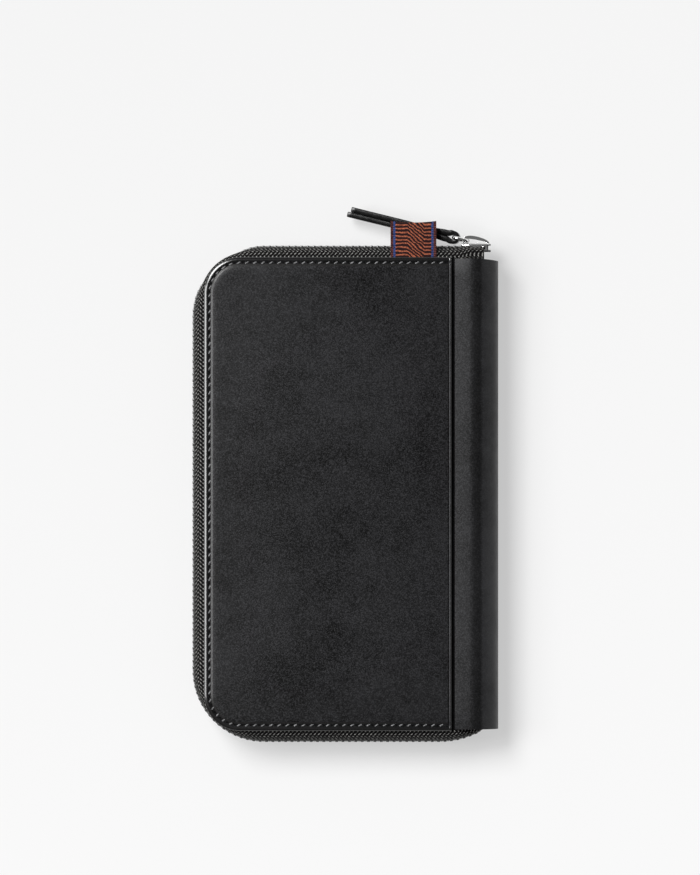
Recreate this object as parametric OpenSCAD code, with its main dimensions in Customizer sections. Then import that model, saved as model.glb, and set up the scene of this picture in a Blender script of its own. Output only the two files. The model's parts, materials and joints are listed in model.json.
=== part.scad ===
// Zip-around travel document organizer: two leather covers joined by a round spine, closed on
// three sides by a zip, with a woven tab and a leather zip pull. It lies closed on its back cover.
// X runs from the opening edge to the spine, Y along the spine, Z up through the covers.
// The origin is the middle of the back face that it rests on.

/* [Cover] */
// Width of the closed cover, from the opening edge to the outside of the spine
cover_w = 131; // [115:0.5:160]
// Height of the cover along the spine
cover_h = 210.6; // [190:0.1:240]
// Thickness of the closed organizer over both outer panels
thick = 26; // [24:0.5:30]
// Radius of the two corners at the opening edge
corner_r = 16; // [10:0.5:20]
// Width of the spine strip, from the outer panel's edge to the outside of the spine
spine_strip = 20.7; // [18:0.1:26]

/* [Leather] */
// Thickness of the outer panels
panel_t = 1.2; // [0.8:0.1:1.6]
// Height that the panel's field stands above its stitched rim
field_rise = 0.5; // [0.2:0.1:0.6]
// Width of the stitched rim of the outer panels
rim_w = 3.8; // [2.5:0.1:6]
// Thickness of the cover leather that runs on into the spine
cover_t = 1.2; // [0.8:0.1:1.6]
// How far the spine leather reaches under the outer panels
spine_tuck = 6; // [4:0.5:9]
// How far the spine leather stops short of the covers' ends
spine_short = 0.8; // [0.4:0.1:2]

/* [Lining] */
// Thickness of the stiffening boards
board_t = 0.7; // [0.5:0.1:1]
// Distance from the leather's edge to the board
board_inset = 5; // [4.6:0.1:8]
// Thickness of the lining
lining_t = 0.5; // [0.3:0.1:0.8]
// Distance from the leather's edge to the lining
lining_inset = 3; // [2:0.1:4]
// Half the angle of the spine's curve that the spine lining covers
spine_lining_angle = 45; // [30:1:55]
// Distance from the ends of the spine to the spine lining
spine_lining_inset = 6.5; // [5:0.5:12]

/* [Zip] */
// How far the teeth's centre line stands out from the leather's edge
bulge = 4.4; // [4:0.1:6]
// Radius of the teeth's centre line round the opening corners
zip_corner_r = 31; // [24:0.5:34]
// Radius of the curve that takes the zip's lower end into the spine
zip_end_r = 38; // [30:1:50]
// Angle of that curve
zip_end_angle = 31; // [20:1:34]
// Distance from the panel's edge to the start of that curve
zip_end_start = 5.4; // [2:0.1:9]
// Thickness of the tapes
tape_t = 0.7; // [0.5:0.1:0.7]
// Width of the tape that is sewn between cover and lining
tape_band = 4.5; // [3:0.1:4.5]
// Half the gap between the edges of the two tapes
tape_gap = 2.2; // [2:0.1:2.6]
// Distance from one tooth to the next on a tape
tooth_pitch = 2.84; // [2.4:0.02:3.4]
// Width of a tooth's head along the tape
tooth_head = 1.15; // [0.8:0.05:1.2]
// Thickness of a tooth, square to the tape
tooth_t = 1.8; // [1.2:0.1:2]
// How far the teeth of one tape reach past the middle
tooth_reach = 0.6; // [0.3:0.05:0.9]

/* [Slider] */
// Distance from the panel's spine edge to the middle of the closed slider
slider_from_seam = 10.8; // [10:0.1:14]
// Length of the slider
slider_len = 13; // [11:0.5:15]
// Width of the slider at its nose
slider_w = 9.6; // [8.5:0.1:10]
// Thickness of the slider's two plates
slider_plate = 0.9; // [0.7:0.1:1.2]
// Clearance between the teeth and the plates
slider_clear = 0.2; // [0.15:0.05:0.3]
// Height of the crown over the outer plate
crown_h = 2.9; // [2.7:0.1:4]
// Width of the crown
crown_w = 2.4; // [1.6:0.1:3.4]

/* [Pull] */
// Diameter of the link's wire
link_d = 1.7; // [1.2:0.1:1.8]
// Distance between the link's two cross bars
link_len = 6.5; // [6.3:0.1:9]
// Distance between the link's two side bars
link_w = 7.6; // [7:0.1:9]
// Direction of the link and the strap, from the slider, in degrees
pull_angle = 166; // [160:1:172]
// Length of the strap from the link's bar to its cut end
strap_len = 48.7; // [30:0.1:60]
// Width of the strap
strap_w = 5; // [4:0.1:5]
// Thickness of each of the strap's two layers
strap_t = 1.9; // [1.2:0.1:2.1]
// Gap between the two layers
strap_gap = 0.4; // [0.2:0.1:0.8]
// Angle at which the strap hangs down from the link
strap_droop = 7; // [0:1:7]

/* [Tab] */
// Width of the woven tab
tab_w = 21.4; // [12:0.1:28]
// Distance from the tab to the panel's spine edge
tab_from_seam = 6.2; // [6:0.1:12]
// How far the tab stands out from the leather's edge
tab_out = 16.2; // [10:0.1:20]
// How far the tab is sewn in
tab_in = 6; // [4:0.5:9]
// Thickness of the ribbon
ribbon_t = 0.4; // [0.3:0.05:0.5]
// How far the tab slopes down to its fold
tab_fall = 4.4; // [2:0.1:4.6]
// Gap inside the tab's fold
tab_gap = 0.6; // [0.4:0.1:1]

/* [Pockets] */
// Distance from the leather's edge to the pockets
pocket_inset = 6.5; // [6:0.1:9]
// Distance from the panel's spine edge to the pockets
pocket_from_seam = 5; // [3:0.5:9]
// Thickness of the pockets' leather
pocket_t = 0.7; // [0.5:0.1:0.9]
// Height of the ticket pocket
ticket_h = 158; // [120:1:165]
// Height of the passport pocket
passport_h = 118; // [90:1:130]
// Radius of the passport pocket's thumb notch
thumb_r = 12; // [6:0.5:16]
// Height of the slip pocket
slip_h = 172; // [150:1:180]
// Height of the first card slot
card_h = 130; // [110:1:150]
// Step from one card slot to the next
card_step = 15; // [10:0.5:18]
// Thickness of a card slot's leather
card_t = 0.5; // [0.4:0.05:0.6]

/* [Pocket zip] */
// Length of the zip pocket's opening
window_l = 80; // [50:1:86]
// Height of the zip pocket's opening
window_h = 8; // [7:0.5:10]
// Distance from the top of the pocket to the middle of its zip
window_drop = 14; // [10:0.5:18]
// Width of the sewn edge of the zip pocket
pocket_seam = 4; // [3:0.5:5]
// Thickness of the pocket zip's tape
pocket_tape_t = 0.6; // [0.4:0.1:0.8]
// Width of the pocket zip's teeth
pocket_teeth_w = 3.6; // [3:0.1:4.2]
// Distance from one tooth to the next
pocket_pitch = 2; // [1.6:0.1:3]
// Length of the pocket zip's slider
pocket_slider_l = 8; // [6:0.5:10]
// Length of the pocket zip's pull
pocket_pull_l = 10; // [8:0.5:11]

/* [Hidden] */
$fn = 64;

leather_black = "#2b2b2e";
lining_grey = "#3a3a3e";
board_brown = "#8d7a5c";
tape_black = "#1c1c1e";
tooth_black = "#0f0f10";
bright_metal = "#d5d7da";
tab_rust = "#8a3a22";

half_w = cover_w / 2;
half_h = cover_h / 2;
mid_z = thick / 2;
seam_x = half_w - spine_strip;
spine_r = mid_z - panel_t;
spine_x = half_w - spine_r;
tuck_x = seam_x - spine_tuck;

// Heights of the layers above the resting face; the front cover mirrors them
cover_z = panel_t;
band_z = cover_z + cover_t;
lining_z = band_z + max(board_t, tape_t);
pocket_z = lining_z + lining_t;
fit_gap = 0.1;

// Runs of the teeth's centre line round the cover, from the spine's top to its bottom
zip_y = half_h + bulge;
corner_x = zip_corner_r - half_w - bulge;
corner_y = zip_y - zip_corner_r;
slider_x = seam_x + slider_from_seam;
wedge_tip = 1.5;
teeth_start = slider_x - wedge_tip;
end_x = seam_x - zip_end_start;
top_run = teeth_start - corner_x;
corner_run = zip_corner_r * PI / 2;
side_run = 2 * corner_y;
bottom_run = end_x - corner_x;
end_run = zip_end_r * zip_end_angle * PI / 180;
teeth_run = top_run + 2 * corner_run + side_run + bottom_run + end_run;

// The leather's edge beside a zip corner: straight, round, straight
edge_flat = corner_x - corner_r + half_w;
edge_arc = corner_r * PI / 2;

function turned(centre, r, angle) = centre + r * [cos(angle), sin(angle)];

// Point and outward direction of the teeth's centre line at a distance from its start
function zip_at(s) =
    let (s2 = s - top_run, s3 = s2 - corner_run, s4 = s3 - side_run, s5 = s4 - corner_run)
    let (s6 = s5 - bottom_run)
    s2 < 0 ? [[teeth_start - s, zip_y], 90]
    : s3 < 0 ? let (a = 90 + 90 * s2 / corner_run)
        [turned([corner_x, corner_y], zip_corner_r, a), a]
    : s4 < 0 ? [[corner_x - zip_corner_r, corner_y - s3], 180]
    : s5 < 0 ? let (a = 180 + 90 * s4 / corner_run)
        [turned([corner_x, -corner_y], zip_corner_r, a), a]
    : s6 < 0 ? [[corner_x + s5, -zip_y], 270]
    : let (a = 270 + zip_end_angle * s6 / end_run)
        [turned([end_x, zip_end_r - zip_y], zip_end_r, a), a];

// Point and outward direction of the leather's edge at a share of the upper corner
function edge_at(share) =
    let (d = share * (2 * edge_flat + edge_arc), past = d - edge_flat - edge_arc)
    d < edge_flat ? [[corner_x - d, half_h], 90]
    : past < 0 ? let (a = 90 + 90 * (d - edge_flat) / edge_arc)
        [turned([corner_r - half_w, half_h - corner_r], corner_r, a), a]
    : [[-half_w, half_h - corner_r - past], 180];

function flipped(place) = [[place[0].x, -place[0].y], -place[1]];

// A tape station: teeth point, leather edge point, outward direction of the leather's edge, the
// height of the tape's sewn edge, its width and the power that shapes the bow. Past the covers the
// tape is a tail that stands straight in the slider and then turns in towards the spine.
tail_rise = 7.4;
tail_depth = 3.9;
tail_band = 0.5;
tail_power = 0.4;
corner_steps = 9;
end_steps = 12;
sewn_end = seam_x + 3;
tail_blend = 5;

function sewn(teeth, edge) = [teeth[0], edge[0], edge[1], band_z, tape_band, 1];
function tail(teeth) = [teeth[0], teeth[0] - tail_depth * [cos(teeth[1]), sin(teeth[1])],
    teeth[1], mid_z - tail_rise, tail_band, tail_power];

function top_stations(start_x) = [
    tail([[start_x, zip_y], 90]),
    tail([[sewn_end + tail_blend, zip_y], 90]),
    sewn([[sewn_end, zip_y], 90], [[sewn_end, half_h], 90]),
    for (i = [0:corner_steps])
        sewn(zip_at(top_run + corner_run * i / corner_steps), edge_at(i / corner_steps))];

bottom_stations = [
    for (i = [corner_steps:-1:0])
        sewn(flipped(zip_at(top_run + corner_run * i / corner_steps)),
            flipped(edge_at(i / corner_steps))),
    for (i = [0:end_steps])
        let (teeth = zip_at(teeth_run - end_run * (1 - i / end_steps)))
        if (teeth[0].x <= sewn_end) sewn(teeth, [[teeth[0].x, -half_h], 270]),
    for (i = [0:end_steps])
        let (teeth = zip_at(teeth_run - end_run * (1 - i / end_steps)))
        if (teeth[0].x >= sewn_end + tail_blend) tail(teeth)];

// Section of the tape at a station: a sewn band, then a quarter of an oval out to the teeth
bow_steps = 4;
function tape_side(station, offset, lift) =
    let (teeth = station[0], edge = station[1], out = [cos(station[2]), sin(station[2])])
    let (reach = norm(teeth - edge), way = (teeth - edge) / reach, top_z = mid_z - tape_gap)
    let (low_z = station[3] + lift)
    [let (p = edge - station[4] * out) [p.x, p.y, low_z],
     [edge.x, edge.y, low_z],
     for (i = [1:bow_steps])
        let (a = 90 * i / bow_steps, p = edge + way * (reach + offset) * pow(sin(a), station[5]))
        [p.x, p.y, top_z - (top_z - low_z) * pow(cos(a), station[5])]];

function tape_ring(station) =
    let (outer = tape_side(station, tape_t / 2, 0), inner = tape_side(station, -tape_t / 2, tape_t))
    concat(outer, [for (i = [len(inner) - 1:-1:0]) inner[i]]);

// A closed skin over equal rings of points
module loft(rings) {
    n = len(rings[0]);
    last = len(rings) - 1;
    sides = [for (r = [0:last - 1], i = [0:n - 1])
        let (a = r * n + i, b = r * n + (i + 1) % n)
        each [[a, b, b + n], [a, b + n, a + n]]];
    half = n / 2;
    first_cap = [for (i = [0:half - 2]) each
        [[i, n - 1 - i, i + 1], [i + 1, n - 1 - i, n - 2 - i]]];
    far = last * n;
    last_cap = [for (f = first_cap) [far + f[0], far + f[2], far + f[1]]];
    polyhedron([for (ring = rings) each ring], concat(sides, first_cap, last_cap));
}

// Builds a back cover's piece as the front cover's
module on_front() {
    translate([0, 0, thick]) mirror([0, 0, 1]) children();
}

// Outline of a cover: round corners at the opening edge, a straight edge at the spine
module cover_plan(inset, right) {
    r = corner_r - inset;
    left = inset - half_w;
    top = half_h - inset;
    translate([left + r, -top]) square([right - left - r, 2 * top]);
    translate([left, r - top]) square([r, 2 * (top - r)]);
    for (side = [-1, 1]) translate([left + r, side * (top - r)]) circle(r);
}

module plate(z, t, inset, right) {
    translate([0, 0, z]) linear_extrude(t) cover_plan(inset, right);
}

// Outer panel: a flat stitched rim on three sides and a raised field
module outer_panel() {
    plate(field_rise, panel_t - field_rise, 0, seam_x);
    plate(0, panel_t, rim_w, seam_x);
}

module lining_sheet() {
    plate(lining_z, lining_t, lining_inset, seam_x);
}

module board_sheet() {
    plate(band_z, board_t, board_inset, tuck_x);
}

// Extrudes an outline in X and Z along Y
module along_spine(length) {
    rotate([90, 0, 0]) linear_extrude(length, center = true) children();
}

module ring_2d(outer, inner) {
    difference() {
        circle(outer);
        circle(inner);
    }
}

// A row of zip teeth: each has a foot on the tape, a neck and a head
foot_w = 1.4;
neck_w = 0.8;
neck_drop = 0.9;
head_drop = 0.5;
module tooth() {
    half = [[foot_w, -tape_gap], [neck_w, -neck_drop], [tooth_head, -head_drop],
        [neck_w, tooth_reach]];
    rotate([90, 0, 90]) linear_extrude(tooth_t, center = true)
        polygon([for (p = half) [p[0] / 2, p[1]],
            for (i = [len(half) - 1:-1:0]) [-half[i][0] / 2, half[i][1]]]);
}

module tooth_row(first) {
    count = floor((teeth_run - first - foot_w) / tooth_pitch);
    for (i = [0:count]) {
        place = zip_at(first + i * tooth_pitch);
        translate([place[0].x, place[0].y, mid_z]) rotate([0, 0, place[1]]) tooth();
    }
}

tail_len = 5;
module back_tape_shape() {
    loft([for (s = concat(top_stations(teeth_start + tail_len), bottom_stations)) tape_ring(s)]);
}

// Front cover
module front_panel() color(leather_black) on_front() outer_panel();

module front_cover() color(leather_black) {
    difference() {
        on_front() plate(cover_z, cover_t, 0, tuck_x);
        translate([tab_x, half_h - tab_in, tab_z])
            cube([tab_w, tab_in + 1, 2 * ribbon_t + 1]);
    }
}

module front_board() color(board_brown) on_front() board_sheet();
module front_lining() color(lining_grey) on_front() lining_sheet();
module front_zip_tape() color(tape_black) on_front() back_tape_shape();
module front_zip_teeth() color(tooth_black) on_front() tooth_row(1 + tooth_pitch / 2);

// Pockets: sheets inside the covers, open at the top
pocket_right = seam_x - pocket_from_seam;
pocket_bottom = pocket_inset - half_h;
module pocket_sheet(z, t, height) {
    translate([0, 0, z]) linear_extrude(t) intersection() {
        cover_plan(pocket_inset, pocket_right);
        translate([-half_w, pocket_bottom]) square([cover_w, height]);
    }
}

module slip_pocket() color(leather_black) on_front() pocket_sheet(pocket_z, pocket_t, slip_h);

module card_slot(i) color(leather_black) on_front()
    pocket_sheet(pocket_z + pocket_t + i * card_t, card_t, card_h - i * card_step);

// Woven tab: a ribbon folded in two, its ends sewn between panel and cover
tab_x = seam_x - tab_from_seam - tab_w;
tab_z = thick - panel_t - 2 * ribbon_t;
module woven_tab() color(tab_rust) {
    inner_y = half_h - tab_in;
    outer_y = half_h + tab_out;
    top_z = tab_z + 2 * ribbon_t;
    fold_z = tab_z - tab_fall;
    fold_r = tab_gap / 2 + ribbon_t;
    slit_y = half_h + tab_gap;
    translate([tab_x, 0, 0]) rotate([90, 0, 90]) linear_extrude(tab_w) difference() {
        union() {
            polygon([[inner_y, tab_z], [half_h, tab_z], [outer_y - fold_r, fold_z],
                [outer_y - fold_r, fold_z + 2 * fold_r], [half_h, top_z], [inner_y, top_z]]);
            translate([outer_y - fold_r, fold_z + fold_r]) circle(fold_r);
        }
        polygon([[slit_y, tab_z + ribbon_t], [outer_y - fold_r, fold_z + ribbon_t],
            [outer_y - fold_r, fold_z + ribbon_t + tab_gap]]);
        translate([outer_y - fold_r, fold_z + fold_r]) circle(tab_gap / 2);
    }
}

// Spine: leather bent round a half circle, with flat runs under both outer panels
module spine_leather() color(leather_black) along_spine(cover_h - 2 * spine_short) {
    translate([spine_x, mid_z]) intersection() {
        ring_2d(spine_r, spine_r - cover_t);
        translate([0, -thick]) square([thick, 2 * thick]);
    }
    for (z = [cover_z, thick - cover_z - cover_t])
        translate([tuck_x, z]) square([spine_x - tuck_x, cover_t]);
}

module spine_lining() color(lining_grey) along_spine(cover_h - 2 * spine_lining_inset) {
    outer = spine_r - cover_t - fit_gap;
    wedge = 2 * outer * [cos(spine_lining_angle), sin(spine_lining_angle)];
    translate([spine_x, mid_z]) intersection() {
        ring_2d(outer, outer - lining_t);
        polygon([[0, 0], [wedge.x, -wedge.y], [2 * outer, 0], [wedge.x, wedge.y]]);
    }
}

// Back cover
module back_panel() color(leather_black) outer_panel();
module back_cover() color(leather_black) plate(cover_z, cover_t, 0, tuck_x);
module back_board() color(board_brown) board_sheet();
module back_lining() color(lining_grey) lining_sheet();
module back_zip_tape() color(tape_black) back_tape_shape();
module back_zip_teeth() color(tooth_black) tooth_row(1);

// Stop clamped across the teeth's lower end
stop_len = 1.6;
module zip_end_stop() color(tooth_black) {
    place = zip_at(teeth_run);
    translate([place[0].x, place[0].y, mid_z - tape_gap]) rotate([0, 0, place[1]])
        translate([-tooth_t / 2, 0, 0]) cube([tooth_t, stop_len, 2 * tape_gap - fit_gap]);
}

// Zip pocket on the back lining: a panel with a window, on a sewn edge
window_y = half_h - pocket_inset - window_drop;
window_x = (pocket_right + pocket_inset - half_w) / 2;
pocket_panel_z = pocket_z + pocket_tape_t;
ticket_z = pocket_panel_z + pocket_t;
tape_border = 2.5;
module window(border) {
    translate([window_x, window_y])
        square([window_l + 2 * border, window_h + 2 * border], center = true);
}

module zip_pocket() color(leather_black) {
    translate([0, 0, pocket_z]) linear_extrude(pocket_tape_t) difference() {
        cover_plan(pocket_inset, pocket_right);
        cover_plan(pocket_inset + pocket_seam, pocket_right - pocket_seam);
        window(tape_border + fit_gap);
    }
    translate([0, 0, pocket_panel_z]) linear_extrude(pocket_t) difference() {
        cover_plan(pocket_inset, pocket_right);
        window(0);
    }
}

module pocket_zip_tape() color(tape_black) translate([0, 0, pocket_z])
    linear_extrude(pocket_tape_t) window(tape_border);

pocket_tooth_h = 0.9;
module pocket_zip_teeth() color(tooth_black) translate([0, window_y, pocket_panel_z]) {
    count = floor((window_l - pocket_pitch) / pocket_pitch);
    for (i = [0:count]) {
        side = i % 2 == 0 ? 1 : -1;
        translate([window_x + (i - count / 2) * pocket_pitch, side * pocket_teeth_w / 8, 0])
            linear_extrude(pocket_tooth_h)
            square([pocket_pitch * 0.7, pocket_teeth_w * 3 / 4], center = true);
    }
}

module ticket_pocket() color(leather_black) pocket_sheet(ticket_z, pocket_t, ticket_h);

module passport_pocket() color(leather_black)
    translate([0, 0, ticket_z + pocket_t]) linear_extrude(pocket_t) difference() {
        intersection() {
            cover_plan(pocket_inset, pocket_right);
            translate([-half_w, pocket_bottom]) square([cover_w, passport_h]);
        }
        translate([window_x, pocket_bottom + passport_h]) circle(thumb_r);
    }

// Slider, drawn about the middle of the teeth that it holds
plate_y = tooth_t / 2 + slider_clear;
module at_slider() {
    translate([slider_x, zip_y, mid_z]) children();
}

// Plan of a slider plate in X and Z: narrow at the tail, wide and blunt at the nose
function slider_plan(w) = let (half = slider_len / 2, tail = w * 0.37, nose = w / 2)
    [[-half, -tail], [half * 0.15, -nose * 0.94], [half * 0.7, -nose], [half, -nose * 0.55],
     [half, nose * 0.55], [half * 0.7, nose], [half * 0.15, nose * 0.94], [-half, tail]];

// Extrudes an outline in X and Z from one distance to another along Y
module slider_layer(from, to) {
    translate([0, to, 0]) rotate([90, 0, 0]) linear_extrude(to - from) children();
}

flange_t = 0.6;
inner_flange = 0.25;
outer_flange = 0.5;
module flange_plan() {
    difference() {
        polygon(slider_plan(slider_w));
        polygon([for (p = slider_plan(slider_w - 2 * flange_t)) [p.x * 1.2, p.y]]);
    }
}

wedge_half = 1.9;
module slider_body() color(bright_metal) at_slider() {
    half = slider_len / 2;
    slider_layer(-plate_y - slider_plate, -plate_y) polygon(slider_plan(slider_w));
    slider_layer(plate_y, plate_y + slider_plate) polygon(slider_plan(slider_w));
    slider_layer(-plate_y, inner_flange - plate_y) flange_plan();
    slider_layer(plate_y - outer_flange, plate_y) flange_plan();
    slider_layer(-plate_y, plate_y)
        polygon([[wedge_tip, 0], [half * 0.65, -wedge_half], [half, -wedge_half * 0.7],
            [half, wedge_half * 0.7], [half * 0.65, wedge_half]]);
}

// Crown: an arch along the outer plate, high over the link and sloping down to the nose
crown_t = 1;
crown_foot = 5.6;
crown_crest = 3.4;
crown_eye = 1.8;
module slider_crown() color(bright_metal) at_slider() {
    base = plate_y + slider_plate;
    nose = slider_len / 2;
    crest_r = crown_foot - crown_crest;
    bar_y = base + link_d / 2 + fit_gap;
    translate([0, 0, -crown_w / 2]) linear_extrude(crown_w) difference() {
        union() {
            intersection() {
                translate([-crown_crest, base + crown_h - crest_r]) circle(crest_r);
                translate([-crown_foot, base]) square([slider_len, crown_h]);
            }
            polygon([[-crown_crest, base], [nose, base],
                [nose, base + crown_t * 0.4], [-crown_crest + 1, base + crown_h - 0.17],
                [-crown_crest, base + crown_h]]);
        }
        translate([link_x - slider_x, bar_y]) circle(link_d / 2 + fit_gap);
        translate([link_x - slider_x, base])
            square([crown_eye, link_d + 2 * fit_gap]);
        translate([link_x - slider_x - link_d / 2 - fit_gap, base])
            square([link_d / 2 + fit_gap, link_d / 2 + fit_gap]);
    }
}

// Link: a closed loop of wire through the crown
link_x = slider_x - crown_foot + crown_t + link_d / 2 + fit_gap;
link_y = zip_y + plate_y + slider_plate + link_d / 2 + fit_gap;
module at_link() {
    translate([link_x, link_y, mid_z]) rotate([0, 0, pull_angle]) children();
}

module pull_link() color(bright_metal) at_link() {
    for (x = [0, link_len]) translate([x, 0, 0]) cylinder(d = link_d, h = link_w, center = true);
    for (z = [-1, 1]) translate([0, 0, z * link_w / 2]) {
        rotate([0, 90, 0]) cylinder(d = link_d, h = link_len);
        for (x = [0, link_len]) translate([x, 0, 0]) sphere(d = link_d);
    }
}

// Strap: a leather lace folded round the link's far bar, its two layers lying together
loop_play = 0.45;
module pull_strap() color(leather_black) at_link() translate([link_len, 0, 0])
    rotate([0, strap_droop, 0]) linear_extrude(strap_w, center = true) difference() {
        union() {
            circle(link_d / 2 + loop_play + strap_t);
            translate([0, -strap_gap / 2 - strap_t])
                square([strap_len, 2 * strap_t + strap_gap]);
        }
        circle(link_d / 2 + loop_play);
        translate([0, -strap_gap / 2]) square([strap_len + 1, strap_gap]);
    }

// Pocket zip's slider: a cap over the teeth with two low sides and an eye
cap_t = 0.7;
cap_side = 0.7;
eye_w = 1.6;
eye_d = 1.4;
pocket_slider_x = window_x + window_l / 2 - pocket_slider_l / 2 - 1;
cap_z = pocket_panel_z + pocket_tooth_h + fit_gap;
eye_z = cap_z + cap_t + eye_d / 2 + 0.2;
module pocket_slider() color(bright_metal) translate([pocket_slider_x, window_y, 0]) {
    cap_w = pocket_teeth_w + 2 * (cap_side + 2 * fit_gap);
    translate([0, 0, cap_z]) linear_extrude(cap_t)
        square([pocket_slider_l, cap_w], center = true);
    for (side = [-1, 1])
        translate([-pocket_slider_l / 2, side * (cap_w - cap_side) / 2 - cap_side / 2,
            pocket_panel_z + fit_gap]) cube([pocket_slider_l, cap_side, cap_z - pocket_panel_z]);
    translate([0, eye_w / 2, 0]) rotate([90, 0, 0]) linear_extrude(eye_w) difference() {
        union() {
            translate([0, eye_z]) circle(eye_d);
            translate([-eye_d, cap_z]) square([2 * eye_d, eye_z - cap_z]);
        }
        translate([0, eye_z]) circle(eye_d / 2);
    }
}

// Pocket zip's pull: a flat leaf on a pin through the eye
leaf_t = 1;
leaf_w = 5;
module pocket_pull() color(bright_metal)
    translate([pocket_slider_x, window_y, eye_z]) {
        rotate([90, 0, 0]) cylinder(d = eye_d - 2 * fit_gap, h = leaf_w, center = true);
        for (side = [-1, 1])
            translate([-2 * eye_d, side * (leaf_w - 1) / 2 - 0.5, -leaf_t / 2])
                cube([2 * eye_d, 1, leaf_t]);
        translate([-pocket_pull_l, -leaf_w / 2, -leaf_t / 2])
            cube([pocket_pull_l - 2 * eye_d + 1, leaf_w, leaf_t]);
    }

front_panel();
front_cover();
front_board();
front_lining();
front_zip_tape();
front_zip_teeth();
slip_pocket();
card_slot(0);  // card_slot_1
card_slot(1);  // card_slot_2
card_slot(2);  // card_slot_3
card_slot(3);  // card_slot_4
card_slot(4);  // card_slot_5
card_slot(5);  // card_slot_6
woven_tab();
spine_leather();
spine_lining();
back_panel();
back_cover();
back_board();
back_lining();
back_zip_tape();
back_zip_teeth();
zip_end_stop();
zip_pocket();
pocket_zip_tape();
pocket_zip_teeth();
ticket_pocket();
passport_pocket();
slider_body();
slider_crown();
pull_link();
pull_strap();
pocket_slider();
pocket_pull();
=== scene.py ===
"""Zip-around leather travel organizer, lying closed on its back cover."""
import json
import math
import random

import bmesh
import bpy
from mathutils import Matrix, Vector


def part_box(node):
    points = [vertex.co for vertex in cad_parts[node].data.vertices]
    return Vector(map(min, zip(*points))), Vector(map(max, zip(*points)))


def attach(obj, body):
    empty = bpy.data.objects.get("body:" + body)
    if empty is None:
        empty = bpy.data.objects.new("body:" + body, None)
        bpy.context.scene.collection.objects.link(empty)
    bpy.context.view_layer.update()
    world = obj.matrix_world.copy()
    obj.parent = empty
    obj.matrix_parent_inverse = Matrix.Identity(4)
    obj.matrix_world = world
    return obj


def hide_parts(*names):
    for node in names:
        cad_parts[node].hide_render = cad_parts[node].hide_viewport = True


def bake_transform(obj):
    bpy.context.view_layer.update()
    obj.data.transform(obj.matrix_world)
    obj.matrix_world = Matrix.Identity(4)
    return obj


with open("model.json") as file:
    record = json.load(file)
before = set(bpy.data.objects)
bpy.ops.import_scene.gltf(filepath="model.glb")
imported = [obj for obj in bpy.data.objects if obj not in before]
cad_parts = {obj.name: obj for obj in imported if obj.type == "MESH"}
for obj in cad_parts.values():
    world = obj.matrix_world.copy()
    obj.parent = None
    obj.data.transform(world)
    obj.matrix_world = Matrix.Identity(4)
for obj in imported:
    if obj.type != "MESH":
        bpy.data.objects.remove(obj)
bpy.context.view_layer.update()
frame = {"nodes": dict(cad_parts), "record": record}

random.seed(7)
MM = 0.001

# Places taken from the frame, in metres
PANEL_LOW, PANEL_HIGH = (Vector(corner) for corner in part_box("front_panel"))
SPINE_LOW, SPINE_HIGH = (Vector(corner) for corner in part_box("spine_leather"))
SLIDER_LOW, SLIDER_HIGH = (Vector(corner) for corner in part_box("slider_body"))
TAB_LOW, TAB_HIGH = (Vector(corner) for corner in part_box("woven_tab"))
TAB_LEFT, TAB_RIGHT = TAB_LOW.x + 0.25 * MM, TAB_HIGH.x - 0.8 * MM
THICK = PANEL_HIGH.z
MID_Z = THICK / 2
HALF_H = PANEL_HIGH.y
LEFT_X = PANEL_LOW.x
SEAM_X = PANEL_HIGH.x
JOINTS = {joint["name"]: joint for joint in frame["record"]["behaviour"]["joints"]}

# Leather
CORNER_R = 16 * MM
PANEL_T = 1.2 * MM
COVER_T = 1.2 * MM
SEAM_EDGE = SEAM_X - 0.25 * MM
COVER_ROUND = 0.3 * MM
STITCH_EDGE = 2.5 * MM
STITCH_PITCH = 3.6 * MM
STITCH_LENGTH = 2.35 * MM
STITCH_WIDTH = 0.64 * MM

# Spine
TUCK_X = SPINE_LOW.x

# Zip
BULGE = 4.4 * MM
ZIP_CORNER_R = 31 * MM
ZIP_END_R = 38 * MM
ZIP_END_ANGLE = math.radians(31)
ZIP_END_X = SEAM_X - 5.4 * MM
TAPE_T = 0.7 * MM
TAPE_BAND = 4.4 * MM
TAPE_GAP = 2.2 * MM
TOOTH_PITCH = 2.84 * MM
TOOTH_T = 1.8 * MM
BAND_Z = PANEL_T + COVER_T
SEWN_END = SEAM_X + 3 * MM
TAIL_BLEND = 5 * MM
TAIL_RISE = 7.4 * MM
TAIL_DEPTH = 3.9 * MM
TAIL_BAND = 1.6 * MM
TAIL_POWER = 0.4
TAIL_LENGTH = 5 * MM
SLIDER_X = (SLIDER_LOW.x + SLIDER_HIGH.x) / 2
TEETH_START = SLIDER_X - 1.5 * MM
ZIP_Y = HALF_H + BULGE
ZIP_LEFT = LEFT_X - BULGE
CORNER_X = ZIP_LEFT + ZIP_CORNER_R
CORNER_Y = ZIP_Y - ZIP_CORNER_R
TOP_RUN = TEETH_START - CORNER_X
CORNER_RUN = ZIP_CORNER_R * math.pi / 2
SIDE_RUN = 2 * CORNER_Y
BOTTOM_RUN = ZIP_END_X - CORNER_X
END_RUN = ZIP_END_R * ZIP_END_ANGLE
TEETH_RUN = TOP_RUN + 2 * CORNER_RUN + SIDE_RUN + BOTTOM_RUN + END_RUN

# Photograph's frame
IMAGE_H = 875
MM_PER_PIXEL = 4 / 9
VIEW_CENTRE = Vector((-0.6 * MM, 25.1 * MM))
CAMERA_RISE = 4.0


def deselect_all():
    if bpy.context.object and bpy.context.object.mode != "OBJECT":
        bpy.ops.object.mode_set(mode="OBJECT")
    bpy.ops.object.select_all(action="DESELECT")


def named(name):
    """The object just added, under its own name."""
    obj = bpy.context.object
    obj.name = name
    obj.data.name = name
    return obj


def activate(obj):
    """Selects one object alone and makes it the active one."""
    deselect_all()
    obj.select_set(True)
    bpy.context.view_layer.objects.active = obj


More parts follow.
